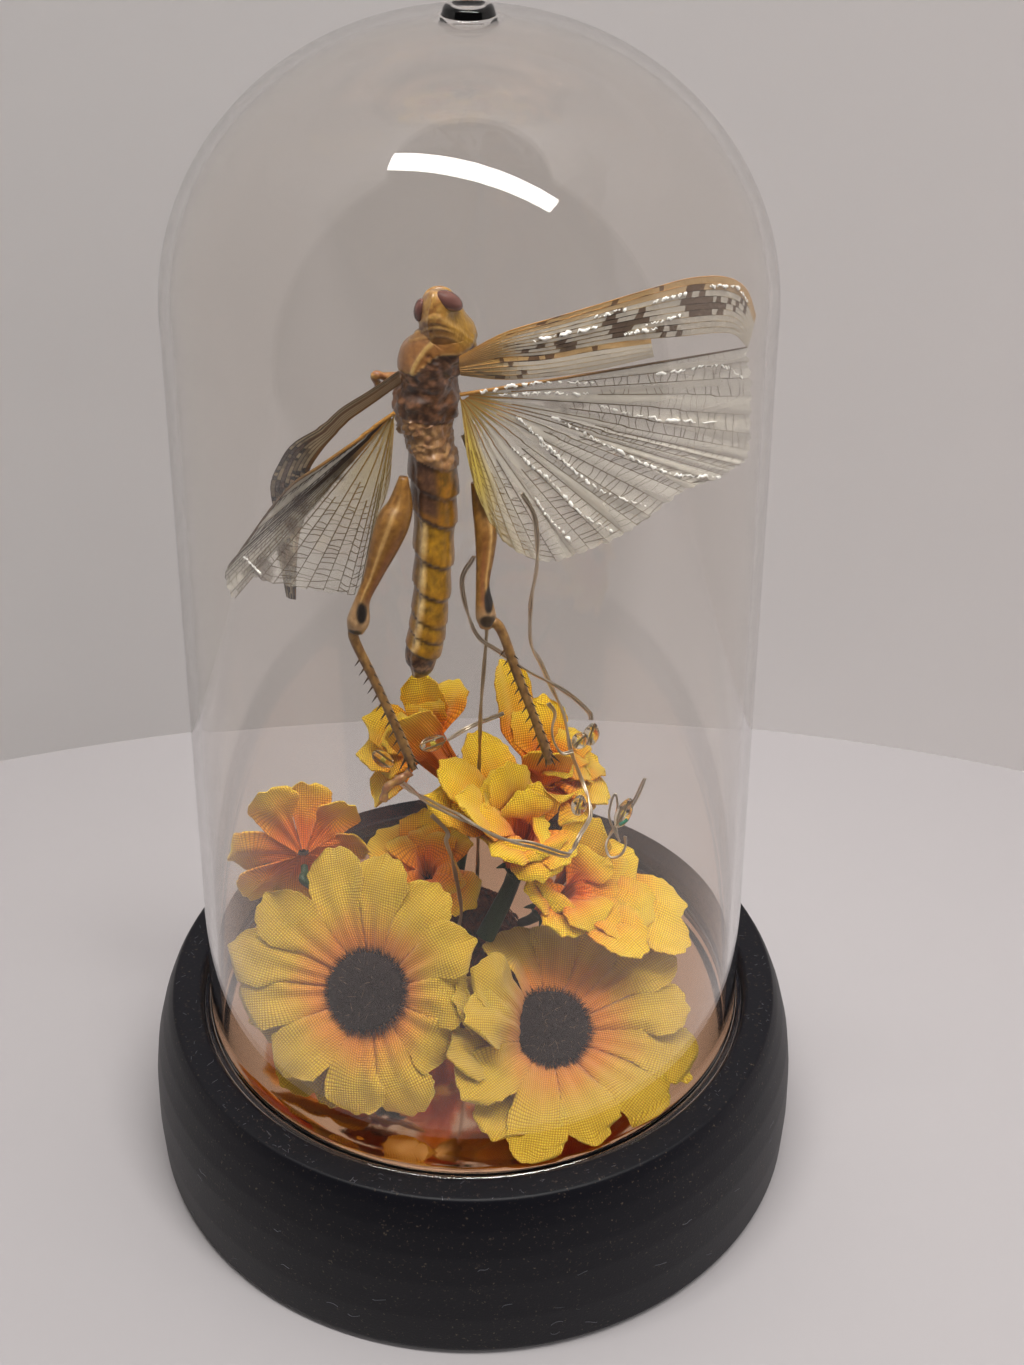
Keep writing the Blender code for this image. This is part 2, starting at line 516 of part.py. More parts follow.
def petal_layer(name, heart, front, tips, inner, bow, surface, root=None):
    """One stamped cloth layer: petals joined round a ring and free towards their tips."""
    level = front.orthogonal().normalized()
    upright = front.cross(level)

    def bearing(tip):
        spread = tip - heart
        return math.atan2(spread.dot(upright), spread.dot(level))

    ordered = sorted((Vector(tip) for tip in tips), key=bearing)
    columns = [petal_column(heart, front, tip, inner, bow, root) for tip in ordered]
    shape = bmesh.new()
    count = len(columns)
    joints = [[shape.verts.new((columns[i][row][2] + columns[(i + 1) % count][row][0]) / 2)
               for row in range(2)] for i in range(count)]
    hub = []
    for i, column in enumerate(columns):
        left, right = joints[i - 1], joints[i]
        middle = [shape.verts.new(row[1]) for row in column]
        lefts = left + [shape.verts.new(row[0]) for row in column[2:]]
        rights = right + [shape.verts.new(row[2]) for row in column[2:]]
        for row in range(len(column) - 1):
            shape.faces.new((lefts[row], middle[row], middle[row + 1], lefts[row + 1]))
            shape.faces.new((middle[row], rights[row], rights[row + 1], middle[row + 1]))
        hub += [middle[0], right[0]]
    shape.faces.new(hub)
    layer = add_mesh(name, shape, surface)
    cloth = layer.modifiers.new("cloth", "SOLIDIFY")
    cloth.thickness = PETAL_CLOTH * MM
    cloth.offset = 0
    return layer


def make_flowers():
    yellow = material("petal_cloth", (0.90, 0.48, 0.03), 0.85)
    brown = material("flower_centre", (0.035, 0.016, 0.012), 0.95)
    green = material("stem_green", (0.02, 0.06, 0.02), 0.7)
    for name, flower in FLOWERS.items():
        heart, disc = Vector(flower["heart"]), flower["disc"]
        if "root" in flower:
            root = Vector(flower["root"])
            front = (heart - root).normalized()
            petal_layer(name + "_petals", heart, front, flower["tips"], disc, flower["bow"], yellow,
                        root)
            behind, centre, disc = root, root, disc * 0.4
        else:
            front = facing(flower["faces"])
            petal_layer(name + "_petals", heart, front, flower["tips"], disc * 0.95,
                        flower["bow"], yellow)
            behind, centre = heart - front * 2.0, heart
        if "under" in flower:
            petal_layer(name + "_under_petals", behind, front, flower["under"], disc * 0.6, 0, yellow)
            behind -= front * 1.2
        head = bmesh.new()
        lifts, girths = (0.6, 1.8, 3.2, 4.0), (0.45, 0.82, 0.80, 0.3)
        tube_into(head, [centre + front * lift for lift in lifts], [disc * g for g in girths],
                  [disc * g for g in girths], front.orthogonal(), 10)
        add_mesh(name + "_centre", head, brown)
        stem = bmesh.new()
        foot = Vector(flower["foot"])
        cup = [behind - front * 0.7, behind - front * 2.2, behind - front * 4.0]
        bend = cup[-1] - front * 1.0 + (foot - cup[-1]) * 0.3
        girths = flower.get("stem", STEM_GIRTHS)
        tube_into(stem, cup + [bend, foot], girths, girths, front.orthogonal(), 6)
        add_mesh(name + "_stem", stem, green)


clear_scene()
make_base()
make_disc()
make_dome()
make_mound()
make_wires()
make_body()
make_hind_legs()
make_wings()
make_flowers()
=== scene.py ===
"""A dried locust over cloth flowers under a clear dome: its looks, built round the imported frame."""

import math
import random

import bmesh
import bpy
from mathutils import Matrix, Vector, noise


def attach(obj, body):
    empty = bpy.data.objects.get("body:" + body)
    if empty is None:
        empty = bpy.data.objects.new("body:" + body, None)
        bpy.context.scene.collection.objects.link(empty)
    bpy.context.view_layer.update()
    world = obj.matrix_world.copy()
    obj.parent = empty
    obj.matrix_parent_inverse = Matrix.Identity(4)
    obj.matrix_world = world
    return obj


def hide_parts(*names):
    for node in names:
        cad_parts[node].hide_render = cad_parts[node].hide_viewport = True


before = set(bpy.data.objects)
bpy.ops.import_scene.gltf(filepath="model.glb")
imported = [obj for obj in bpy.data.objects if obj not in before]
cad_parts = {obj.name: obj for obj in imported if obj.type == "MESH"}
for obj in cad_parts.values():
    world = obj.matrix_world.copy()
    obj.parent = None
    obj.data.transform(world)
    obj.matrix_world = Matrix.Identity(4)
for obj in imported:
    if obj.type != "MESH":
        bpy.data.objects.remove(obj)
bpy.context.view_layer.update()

# ---- Camera ------------------------------------------------------------------------------
# The camera stands straight in front, about 38 cm from the middle of the base's underside, and
# looks 34 degrees down, turned and rolled a little.
MM = 0.001
camera_place = Vector((0.0, -269.2, 275.9))
tilt, swing, roll = 0.592, 0.024, 0.008
forward = Vector((math.sin(swing) * math.cos(tilt), math.cos(swing) * math.cos(tilt), -math.sin(tilt)))
level = Vector((math.cos(swing), -math.sin(swing), 0.0))
upright = level.cross(forward)
right = level * math.cos(roll) + upright * math.sin(roll)
upward = upright * math.cos(roll) - level * math.sin(roll)
lens = bpy.data.cameras.new("camera")
lens.sensor_fit = "VERTICAL"
lens.sensor_height = 36.0
lens.lens = 52.75
lens.clip_start = 0.01
camera = bpy.data.objects.new("camera", lens)
turn = Matrix((right, upward, -forward)).transposed().to_4x4()
camera.matrix_world = Matrix.Translation(camera_place * MM) @ turn
bpy.context.scene.collection.objects.link(camera)
bpy.context.scene.camera = camera


# ---- Table, backdrop and light -----------------------------------------------------------
# The display stands on a pale table before a sheet of warm grey card bent round behind it. One
# long ceiling tube lights it and draws a strip on the dome, and a window behind the camera fills.
def add_node(tree, kind, sockets=(), **settings):
    """A shader node with its inputs filled: a socket is linked, and a value is set."""
    made = tree.nodes.new("ShaderNode" + kind)
    for name, value in settings.items():
        setattr(made, name, value)
    for name, value in dict(sockets).items():
        if isinstance(value, bpy.types.NodeSocket):
            tree.links.new(value, made.inputs[name])
        else:
            made.inputs[name].default_value = value
    return made


def new_material(name, **values):
    """A Principled material with these plain values, underscores standing for spaces."""
    made = bpy.data.materials.new(name)
    made.use_nodes = True
    shader = made.node_tree.nodes["Principled BSDF"]
    for key, value in values.items():
        socket = shader.inputs[key.replace("_", " ")]
        socket.default_value = (*value, 1.0) if socket.type == "RGBA" else value
    return made, made.node_tree, shader


def mix_colors(tree, mask, first, second, blend="MIX"):
    """A color between two, each a plain color or a socket."""
    made = tree.nodes.new("ShaderNodeMix")
    made.data_type = "RGBA"
    made.blend_type = blend
    for index, value in ((0, mask), (6, first), (7, second)):
        if isinstance(value, bpy.types.NodeSocket):
            tree.links.new(value, made.inputs[index])
        else:
            made.inputs[index].default_value = value if index == 0 else (*value, 1.0)
    return made.outputs[2]


def open_up(tree, shader, mask, tint=(1.0, 1.0, 1.0)):
    """The surface lets rays straight through wherever the mask is one."""
    open_air = add_node(tree, "BsdfTransparent", {"Color": (*tint, 1.0)})
    either = add_node(tree, "MixShader", {0: mask, 1: shader.outputs[0], 2: open_air.outputs[0]})
    tree.links.new(either.outputs[0], tree.nodes["Material Output"].inputs["Surface"])


def share_along(tree, axis, start, end, **settings):
    """How far a place is from one coordinate to another, from 0 to 1."""
    place = add_node(tree, "TexCoord").outputs["Object"]
    split = add_node(tree, "SeparateXYZ", {0: place})
    share = add_node(tree, "MapRange", {"Value": split.outputs[axis], "From Min": start * MM,
                                        "From Max": end * MM}, **settings)
    return share.outputs["Result"]


def stage_finish(name, color):
    """A matt finish that a look from behind passes through."""
    made, tree, shader = new_material(name, Base_Color=color, Roughness=0.8)
    open_up(tree, shader, add_node(tree, "NewGeometry").outputs["Backfacing"])
    return made, tree, shader


def stage_sheet(name, points, faces, material):
    sheet = bpy.data.meshes.new(name)
    sheet.from_pydata([Vector(point) * MM for point in points], [], faces)
    sheet.shade_smooth()
    sheet.materials.append(material)
    thing = bpy.data.objects.new(name, sheet)
    bpy.context.scene.collection.objects.link(thing)
    return thing


def flat_sheet(back, height):
    """A level sheet as wide as the table, from the table's front edge back to here."""
    corners = [(-TABLE_REACH, -TABLE_REACH), (TABLE_REACH, -TABLE_REACH), (TABLE_REACH, back),
               (-TABLE_REACH, back)]
    return [(x, y, height) for x, y in corners], [(0, 1, 2, 3)]


def bent_card(radius, back, height, columns=96):
    """An upright arc of card that stands on the table and faces the display."""
    turns = [math.radians(165 - 150 * i / columns) for i in range(columns + 1)]
    foot = [(radius * math.cos(a), back - radius + radius * math.sin(a)) for a in turns]
    points = [(x, y, z) for z in (0, height) for x, y in foot]
    faces = [(i, i + 1, i + columns + 2, i + columns + 1) for i in range(columns)]
    return points, faces


def soft_light(name, place, aim, size, power, color, glossy=True):
    """A rectangular lamp that shines down its own -Z, with aim turning it."""
    lamp = bpy.data.lights.new(name, "AREA")
    lamp.shape = "RECTANGLE"
    lamp.size, lamp.size_y = (side * MM for side in size)
    lamp.energy = power
    lamp.color = color
    thing = bpy.data.objects.new(name, lamp)
    thing.matrix_world = Matrix.Translation(Vector(place) * MM) @ aim.to_4x4()
    thing.visible_glossy = glossy
    thing.visible_transmission = False
    bpy.context.scene.collection.objects.link(thing)


TABLE_REACH = 1500
WALL_RADIUS, WALL_BACK, WALL_HEIGHT = 350, 127, 900
WALL_LEFT, WALL_RIGHT = -180, 220
DARK_REFLECTION_START, DARK_REFLECTION_FULL = -105, -205
table = stage_finish("table", (0.50, 0.475, 0.485))[0]
stage_sheet("table", *flat_sheet(TABLE_REACH, 0), table)

# The backdrop's colour is painted light and shade: darker at the left and lighter to the right.
wall_shaded_color, wall_lit_color = (0.585, 0.568, 0.56), (0.86, 0.82, 0.81)
wall, tree, shader = stage_finish("backdrop", wall_shaded_color)
across = share_along(tree, "X", WALL_LEFT, WALL_RIGHT)
tree.links.new(mix_colors(tree, across, wall_shaded_color, wall_lit_color), shader.inputs["Base Color"])
stage_sheet("backdrop", *bent_card(WALL_RADIUS, WALL_BACK, WALL_HEIGHT), wall)

# A dark sheet in front of the table is a painted dark reflection of the unlit room: it shows only in and
# through shiny pieces.
room, tree, shader = new_material("painted_dark_reflection", Base_Color=(0.02, 0.02, 0.02))
fade = share_along(tree, "Y", DARK_REFLECTION_START, DARK_REFLECTION_FULL, interpolation_type="SMOOTHSTEP")
tree.links.new(fade, shader.inputs["Alpha"])
painted_dark_reflection = stage_sheet("painted_dark_reflection", *flat_sheet(DARK_REFLECTION_START, 1), room)
for kind in ("camera", "diffuse", "volume_scatter", "shadow"):
    setattr(painted_dark_reflection, "visible_" + kind, False)

soft_light("ceiling_tube", (-60, -270, 1690), Matrix.Rotation(math.radians(-19), 4, "Z"),
           (1830, 190), 29, (1, 0.98, 0.95))
WINDOW_PLACE = Vector((1200, -1200, 900))
soft_light("window", WINDOW_PLACE, (Vector((0, 0, 100)) - WINDOW_PLACE).to_track_quat("-Z", "Y").to_matrix(),
           (2000, 1400), 12.5, (1, 0.98, 0.98), glossy=False)
world = bpy.data.worlds.new("room")
world.use_nodes = True
world.node_tree.nodes["Background"].inputs["Color"].default_value = (0.9, 0.88, 0.88, 1.0)
world.node_tree.nodes["Background"].inputs["Strength"].default_value = 0.08
bpy.context.scene.world = world
bpy.context.scene.view_settings.view_transform = "Standard"


# ---- Black base --------------------------------------------------------------------------
# A satin-black moulded housing of ABS, round in plan, with a flat grained rim and a recess that
# the dome's foot drops into. Its battery cover snaps in underneath.
def new_group(name, values, results):
    """An empty node group with its named inputs and outputs, and its two end nodes."""
    group = bpy.data.node_groups.new(name, "ShaderNodeTree")
    for socket, kind, default in values:
        made = group.interface.new_socket(socket, in_out="INPUT", socket_type="NodeSocket" + kind)
        if default is not None:
            made.default_value = default
    for socket, kind in results:
        group.interface.new_socket(socket, in_out="OUTPUT", socket_type="NodeSocket" + kind)
    return group, group.nodes.new("NodeGroupInput"), group.nodes.new("NodeGroupOutput")


def grain_group():
    """Fine uneven grain: a height for bumps, and a mask that picks its patches."""
    group, given, out = new_group(
        "grain", [("Size", "Float", 900.0), ("Patch", "Float", 120.0), ("Cover", "Float", 0.5)],
        [("Height", "Float"), ("Mask", "Float")])
    place = add_node(group, "TexCoord").outputs["Object"]
    fine = add_node(group, "TexNoise", {"Vector": place, "Scale": given.outputs["Size"], "Detail": 3.0})
    patch = add_node(group, "TexNoise", {"Vector": place, "Scale": given.outputs["Patch"],
                                         "Detail": 4.0, "Roughness": 0.6})
    low = add_node(group, "Math", {0: given.outputs["Cover"], 1: 0.12}, operation="SUBTRACT")
    high = add_node(group, "Math", {0: given.outputs["Cover"], 1: 0.12}, operation="ADD")
    mask = add_node(group, "MapRange", {"Value": patch.outputs["Fac"], "From Min": low.outputs[0],
                                        "From Max": high.outputs[0]})
    group.links.new(fine.outputs["Fac"], out.inputs["Height"])
    group.links.new(mask.outputs["Result"], out.inputs["Mask"])
    return group


GRAIN = grain_group()


def place_grain(tree, **values):
    made = add_node(tree, "Group", node_tree=GRAIN)
    for key, value in values.items():
        made.inputs[key].default_value = value
    return made


def place_bump(tree, shader, height, distance, strength=1.0):
    bump = add_node(tree, "Bump", {"Height": height, "Distance": distance * MM, "Strength": strength})
    tree.links.new(bump.outputs["Normal"], shader.inputs["Normal"])


def add_piece(name, points, faces, material, slot, stands_for=(), crease=40, marks=None):
    """A mesh in millimetres becomes a piece that rides with the frame.

    marks holds numbers under a name, one or a color's four for each point, for the material.
    """
    mesh = bpy.data.meshes.new(name)
    mesh.from_pydata([Vector(point) * MM for point in points], [], faces)
    shape = bmesh.new()
    shape.from_mesh(mesh)
    bmesh.ops.recalc_face_normals(shape, faces=shape.faces)
    shape.to_mesh(mesh)
    shape.free()
    mesh.shade_smooth()
    mesh.set_sharp_from_angle(angle=math.radians(crease))
    for mark, numbers in (marks or {}).items():
        if len(numbers) == len(points):
            mesh.attributes.new(mark, "FLOAT", "POINT").data.foreach_set("value", numbers)
        else:
            mesh.attributes.new(mark, "FLOAT_COLOR", "POINT").data.foreach_set("color", numbers)
    mesh.materials.append(material)
    thing = bpy.data.objects.new(name, mesh)
    bpy.context.scene.collection.objects.link(thing)
    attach(thing, "root")
    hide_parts(*stands_for)
    return thing


def turned_shape(profile, segments=144):
    """Points and faces of a closed (radius, height) profile spun round the Z axis."""
    points, rows, faces = [], [], []
    for radius, height in profile:
        turns = [math.tau * i / segments for i in range(segments if radius else 1)]
        rows.append([len(points) + i for i in range(len(turns))])
        points += [(radius * math.cos(a), radius * math.sin(a), height) for a in turns]
    for near, far in zip(rows, rows[1:] + rows[:1]):
        if len(near) == len(far) == 1:
            continue
        for i in range(segments):
            j = (i + 1) % segments
            corners = [near[i % len(near)], near[j % len(near)], far[j % len(far)], far[i % len(far)]]
            faces.append(list(dict.fromkeys(corners)))
    return points, faces


def eased(profile, reach=0.5, steps=4):
    """Round each corner of a closed profile, starting this far along its two sides."""
    rounded = []
    for before, corner, after in zip(profile[-1:] + profile[:-1], profile, profile[1:] + profile[:1]):
        if corner[0] == 0:
            rounded.append(corner)
            continue
        last, here, following = Vector(before), Vector(corner), Vector(after)
        start = here.lerp(last, min(0.4, reach / (last - here).length))
        end = here.lerp(following, min(0.4, reach / (following - here).length))
        for i in range(steps + 1):
            run = i / steps
            rounded.append(start * (1 - run) ** 2 + here * 2 * run * (1 - run) + end * run ** 2)
    return [tuple(point) for point in rounded]


def loft_shape(rings):
    """Points and faces of a stack of closed rings, with both ends shut."""
    count = len(rings[0])
    points = [point for ring in rings for point in ring]
    faces = [(row + i, row + (i + 1) % count, row + count + (i + 1) % count, row + count + i)
             for row in range(0, len(points) - count, count) for i in range(count)]
    faces += [tuple(range(count)), tuple(range(len(points) - count, len(points)))]
    return points, faces


def smooth_route(knots, per_span=6):
    """A smooth curve through knots, as points."""
    knots = [Vector(knot) for knot in knots]
    ends = [knots[0] * 2 - knots[1]] + knots + [knots[-1] * 2 - knots[-2]]
    route = []
    for a, b, c, d in zip(ends, ends[1:], ends[2:], ends[3:]):
        for i in range(per_span):
            t = i / per_span
            route.append(0.5 * (2 * b + (c - a) * t + (2 * a - 5 * b + 4 * c - d) * t * t
                                + (3 * b - a - 3 * c + d) * t ** 3))
    return route + [knots[-1]]


def route_frames(route):
    """Tangent, side and up at each point, turned as little as possible along the way."""
    last = len(route) - 1
    tangents = [(route[min(i + 1, last)] - route[max(i - 1, 0)]).normalized() for i in range(last + 1)]
    side = tangents[0].orthogonal().normalized()
    frames = []
    for tangent in tangents:
        side = (side - tangent * side.dot(tangent)).normalized()
        frames.append((tangent, side, tangent.cross(side)))
    return frames


def tube_shape(route, radii, sides=8):
    """A closed round tube along a route; radii is one number or one for each point."""
    if isinstance(radii, (int, float)):
        radii = [radii] * len(route)
    rings = []
    for point, (tangent, side, up), radius in zip(route, route_frames(route), radii):
        turns = [math.tau * i / sides for i in range(sides)]
        rings.append([point + (side * math.cos(a) + up * math.sin(a)) * radius for a in turns])
    return loft_shape(rings)


def joined(shapes):
    """Several (points, faces) as one."""
    points, faces = [], []
    for more_points, more_faces in shapes:
        start = len(points)
        points += more_points
        faces += [[start + i for i in face] for face in more_faces]
    return points, faces


def side_hair(chance):
    """A hair that clings to the front of the side."""
    turn, high = chance.uniform(-2.7, -0.4), chance.uniform(3, 22)
    knots = []
    for _ in range(4):
        turn += chance.uniform(0.1, 0.9) * TURN_PER_MM
        high += chance.uniform(-0.5, 0.5)
        knots.append((HAIR_RADIUS * math.cos(turn), HAIR_RADIUS * math.sin(turn), high))
    return tube_shape(smooth_route(knots, 4), 0.032, 3)


def rim_hair(chance):
    """A short bit of lint that lies on the rim."""
    turn, out = chance.uniform(0, math.tau), chance.uniform(48.9, 53.2)
    place = Vector((out * math.cos(turn), out * math.sin(turn), BASE_RIM_Z))
    lay = Vector((chance.uniform(-1, 1), chance.uniform(-1, 1), 0.0)) * chance.uniform(0.08, 0.5)
    return tube_shape([place - lay, place + Vector((0, 0, 0.04)), place + lay], 0.035, 3)


BASE_RADIUS = 57.8
BASE_RIM_Z = 32.5
RECESS_RADIUS = 48.3
FLOOR_Z = 28.7
COVER_RADIUS, COVER_LIFT, COVER_TOP = 29.6, 0.5, 2.7
base_profile = eased(
    [(0, 3.0), (30.0, 3.0), (30.0, 0), (56.6, 0), (57.5, 1.2), (BASE_RADIUS, 9), (57.5, 17),
     (56.8, 22.5), (55.6, 27.3), (54.4, 30.6), (53.4, BASE_RIM_Z), (48.8, BASE_RIM_Z),
     (RECESS_RADIUS, 31.6), (RECESS_RADIUS, FLOOR_Z), (0, FLOOR_Z)])
black, tree, shader = new_material("satin_black", Roughness=0.45, Specular_IOR_Level=0.25)
grain = place_grain(tree, Size=2600.0, Patch=1800.0, Cover=0.74)
dust = mix_colors(tree, grain.outputs["Mask"], (0.004, 0.004, 0.007), (0.20, 0.15, 0.10))
tree.links.new(dust, shader.inputs["Base Color"])
place_bump(tree, shader, grain.outputs["Height"], 0.03)
add_piece("base_shell", *turned_shape(base_profile), black, "satin_black", ["base_housing"])

SIDE_HAIRS, RIM_HAIRS = 26, 260
HAIR_RADIUS = 57.75
TURN_PER_MM = 1 / 57
chance = random.Random(2)
lint = new_material("lint", Base_Color=(0.14, 0.14, 0.16), Roughness=0.9)[0]
hairs = [side_hair(chance) for _ in range(SIDE_HAIRS)] + [rim_hair(chance) for _ in range(RIM_HAIRS)]
add_piece("base_lint", *joined(hairs), lint, "satin_black")

cover_profile = eased(
    [(0, COVER_LIFT), (20.0, COVER_LIFT), (20.6, 1.0), (21.6, 1.0), (22.2, COVER_LIFT),
     (29.1, COVER_LIFT), (COVER_RADIUS, 1.0), (COVER_RADIUS, COVER_TOP), (0, COVER_TOP)], reach=0.3)
add_piece("cover_plate", *turned_shape(cover_profile), black, "satin_black", ["battery_cover"])


# ---- Copper disc -------------------------------------------------------------------------
# A thin plastic disc, metallised as a copper-coloured mirror. It lies loose on the floor of the
# base's recess, inside the dome's foot.
GAP = 0.3
DISC_RADIUS, DISC_TOP = 46.0, 29.6
copper = new_material("copper_mirror", Base_Color=(0.92, 0.58, 0.38), Metallic=1.0, Roughness=0.08)[0]
disc_profile = eased([(0, FLOOR_Z + GAP), (DISC_RADIUS, FLOOR_Z + GAP), (DISC_RADIUS, DISC_TOP),
                      (0, DISC_TOP)], reach=0.15)
add_piece("mirror_disc", *turned_shape(disc_profile), copper, "copper_mirror", ["copper_disc"])


# ---- Mound -------------------------------------------------------------------------------
# A crumbly red-brown lump of bark and glue in the middle of the disc, which holds the support
# wire and the flower stems upright.
MOUND_X, MOUND_Y = 1.2, 3.6
MOUND_LEVELS = [(29.9, 7.4), (36, 7.6), (42, 6.0), (46, 3.2), (47.2, 1.0)]  # height, radius
SHREDS = 700


def mound_rings(sides=96, rows=60):
    """Rings of the lump from its foot to its top, lobed and crumbly."""
    rings = []
    for row in range(rows + 1):
        step = row / rows * (len(MOUND_LEVELS) - 1)
        low = min(int(step), len(MOUND_LEVELS) - 2)
        (z0, r0), (z1, r1) = MOUND_LEVELS[low], MOUND_LEVELS[low + 1]
        share = step - low
        height, radius = z0 + (z1 - z0) * share, r0 + (r1 - r0) * share
        ring = []
        for i in range(sides):
            turn = math.tau * i / sides
            out = Vector((math.cos(turn), math.sin(turn), 0))
            lobes = 1 + 0.10 * math.sin(3 * turn + 1.7 * step) + 0.06 * math.cos(5 * turn - step)
            place = out * radius * lobes + Vector((MOUND_X, MOUND_Y, height))
            crumb = noise.fractal(place * 0.8, 0.6, 2.2, 4) * 0.7
            ring.append(place + out * crumb)
        rings.append(ring)
    return rings


def stained_material(name, bump=0.05, **values):
    """A finish whose colour comes from the piece, broken up by fine mottling."""
    made, tree, shader = new_material(name, **values)
    stain = add_node(tree, "Attribute", attribute_name="stain").outputs["Color"]
    grain = place_grain(tree, Size=2200.0, Patch=900.0, Cover=0.5)
    darker = mix_colors(tree, 1.0, stain, (0.72, 0.68, 0.62), "MULTIPLY")
    tree.links.new(mix_colors(tree, grain.outputs["Mask"], darker, stain), shader.inputs["Base Color"])
    place_bump(tree, shader, grain.outputs["Height"], bump)
    return made


def bark_color(point):
    """Red-brown, dark in some places and paler in others."""
    share = min(1.0, max(0.0, 0.5 + noise.fractal(point * 0.9, 0.7, 2.2, 3)))
    return [0.03 + 0.22 * share, 0.008 + 0.045 * share, 0.006 + 0.014 * share, 1.0]


def bark_shreds(rings, chance):
    """Thin shreds of bark that lie every way on the lump."""
    shapes = []
    for _ in range(SHREDS):
        row = chance.randrange(2, len(rings) - 1)
        ring = rings[row]
        root = ring[chance.randrange(len(ring))]
        out = (root - Vector((MOUND_X, MOUND_Y, root.z - 3.0))).normalized()
        lay = out.cross(Vector([chance.uniform(-1, 1) for _ in range(3)])).normalized()
        lay = (lay + out * 0.25) * chance.uniform(0.6, 1.7)
        path = [root - lay * 0.5, root + out * 0.2, root + lay]
        shapes.append(tube_shape(path, [0.16, 0.2, 0.05], 4))
    return shapes


bark = stained_material("mound", 0.2, Roughness=0.8)
rings = mound_rings()
lump = joined([loft_shape(rings)] + bark_shreds(rings, random.Random(7)))
add_piece("bark_mound", *lump, bark, "mound", ["mound"], crease=80,
          marks={"stain": [number for point in lump[0] for number in bark_color(Vector(point))]})


# ---- Clear dome --------------------------------------------------------------------------
# A clear glass bell with a flared foot that drops into the base's recess, a slightly tapered
# wall, an elliptical cap and a small round button on its top.
def arc(middle, radii, first, last, steps=8):
    """Points of an arc in the (radius, height) plane, its angles in degrees."""
    angles = [math.radians(first + (last - first) * i / steps) for i in range(steps + 1)]
    return [(middle[0] + radii[0] * math.cos(a), middle[1] + radii[1] * math.sin(a)) for a in angles]


def let_shadows_through(tree, shader, tint=(1.0, 1.0, 1.0)):
    """Light passes a clear piece straight on its way to what stands behind it."""
    open_up(tree, shader, add_node(tree, "LightPath").outputs["Is Shadow Ray"], tint)


WALL = 1.6
CAP_MIDDLE = (0, 160.5)
CAP_RADIUS, CAP_HEIGHT = 44.3, 41.0
FOOT_Z = FLOOR_Z + GAP
# Rings close to the wall's two ends keep its smooth shading straight in between
OUTER_WALL = [(46.68, 33.6), (44.31, 159.5)]
INNER_WALL = [(42.71, 159.5), (45.08, 34.6), (45.1, 33.6)]
BUTTON = [(4.0, 201.35), (3.6, 201.7), (3.4, 202.5), (3.0, 202.9), (2.2, 203.0), (1.6, 202.6), (0, 202.5)]
dome_profile = [
    (45.9, FOOT_Z), (47.7, FOOT_Z), *arc((47.5, 30.6), (0.4, 0.4), 0, 80),
    *arc((48.2, 32.6), (1.5, 1.5), 250, 180), *OUTER_WALL,
    *arc(CAP_MIDDLE, (CAP_RADIUS, CAP_HEIGHT), 0, 84.5, 40), *BUTTON, (0, 199.9),
    *arc(CAP_MIDDLE, (CAP_RADIUS - WALL, CAP_HEIGHT - WALL), 88, 0, 40), *INNER_WALL,
    *arc((44.6, 31.6), (1.2, 1.2), 45, 0, 4)]
clear, tree, shader = new_material("clear_dome", Base_Color=(0.93, 0.912, 0.89), Roughness=0.0,
                                   Transmission_Weight=1.0, IOR=1.49)
let_shadows_through(tree, shader)
add_piece("bell_dome", *turned_shape(dome_profile, 192), clear, "clear_dome", ["clear_dome"])


# ---- Support wire and light string -------------------------------------------------------
# The support is a nearly straight pair of fine steel wires from the mound to the insect's
# underside. The light string is two strands of bare silvery wire that run side by side.
def twisted_strands(knots, count, spread, radius, turns_per_mm, per_span=8):
    """Strands that wind loosely round a route."""
    route = smooth_route(knots, per_span)
    frames = route_frames(route)
    run, angles = 0.0, []
    for i, point in enumerate(route):
        run += (point - route[i - 1]).length if i else 0.0
        angles.append(run * turns_per_mm * math.tau + 0.5 * math.sin(run * 0.6))
    shapes = []
    for number in range(count):
        start = math.tau * number / count
        strand = [point + (side * math.cos(a + start) + up * math.sin(a + start)) * spread
                  for point, (tangent, side, up), a in zip(route, frames, angles)]
        shapes.append(tube_shape(strand, radius, 8))
    return joined(shapes)


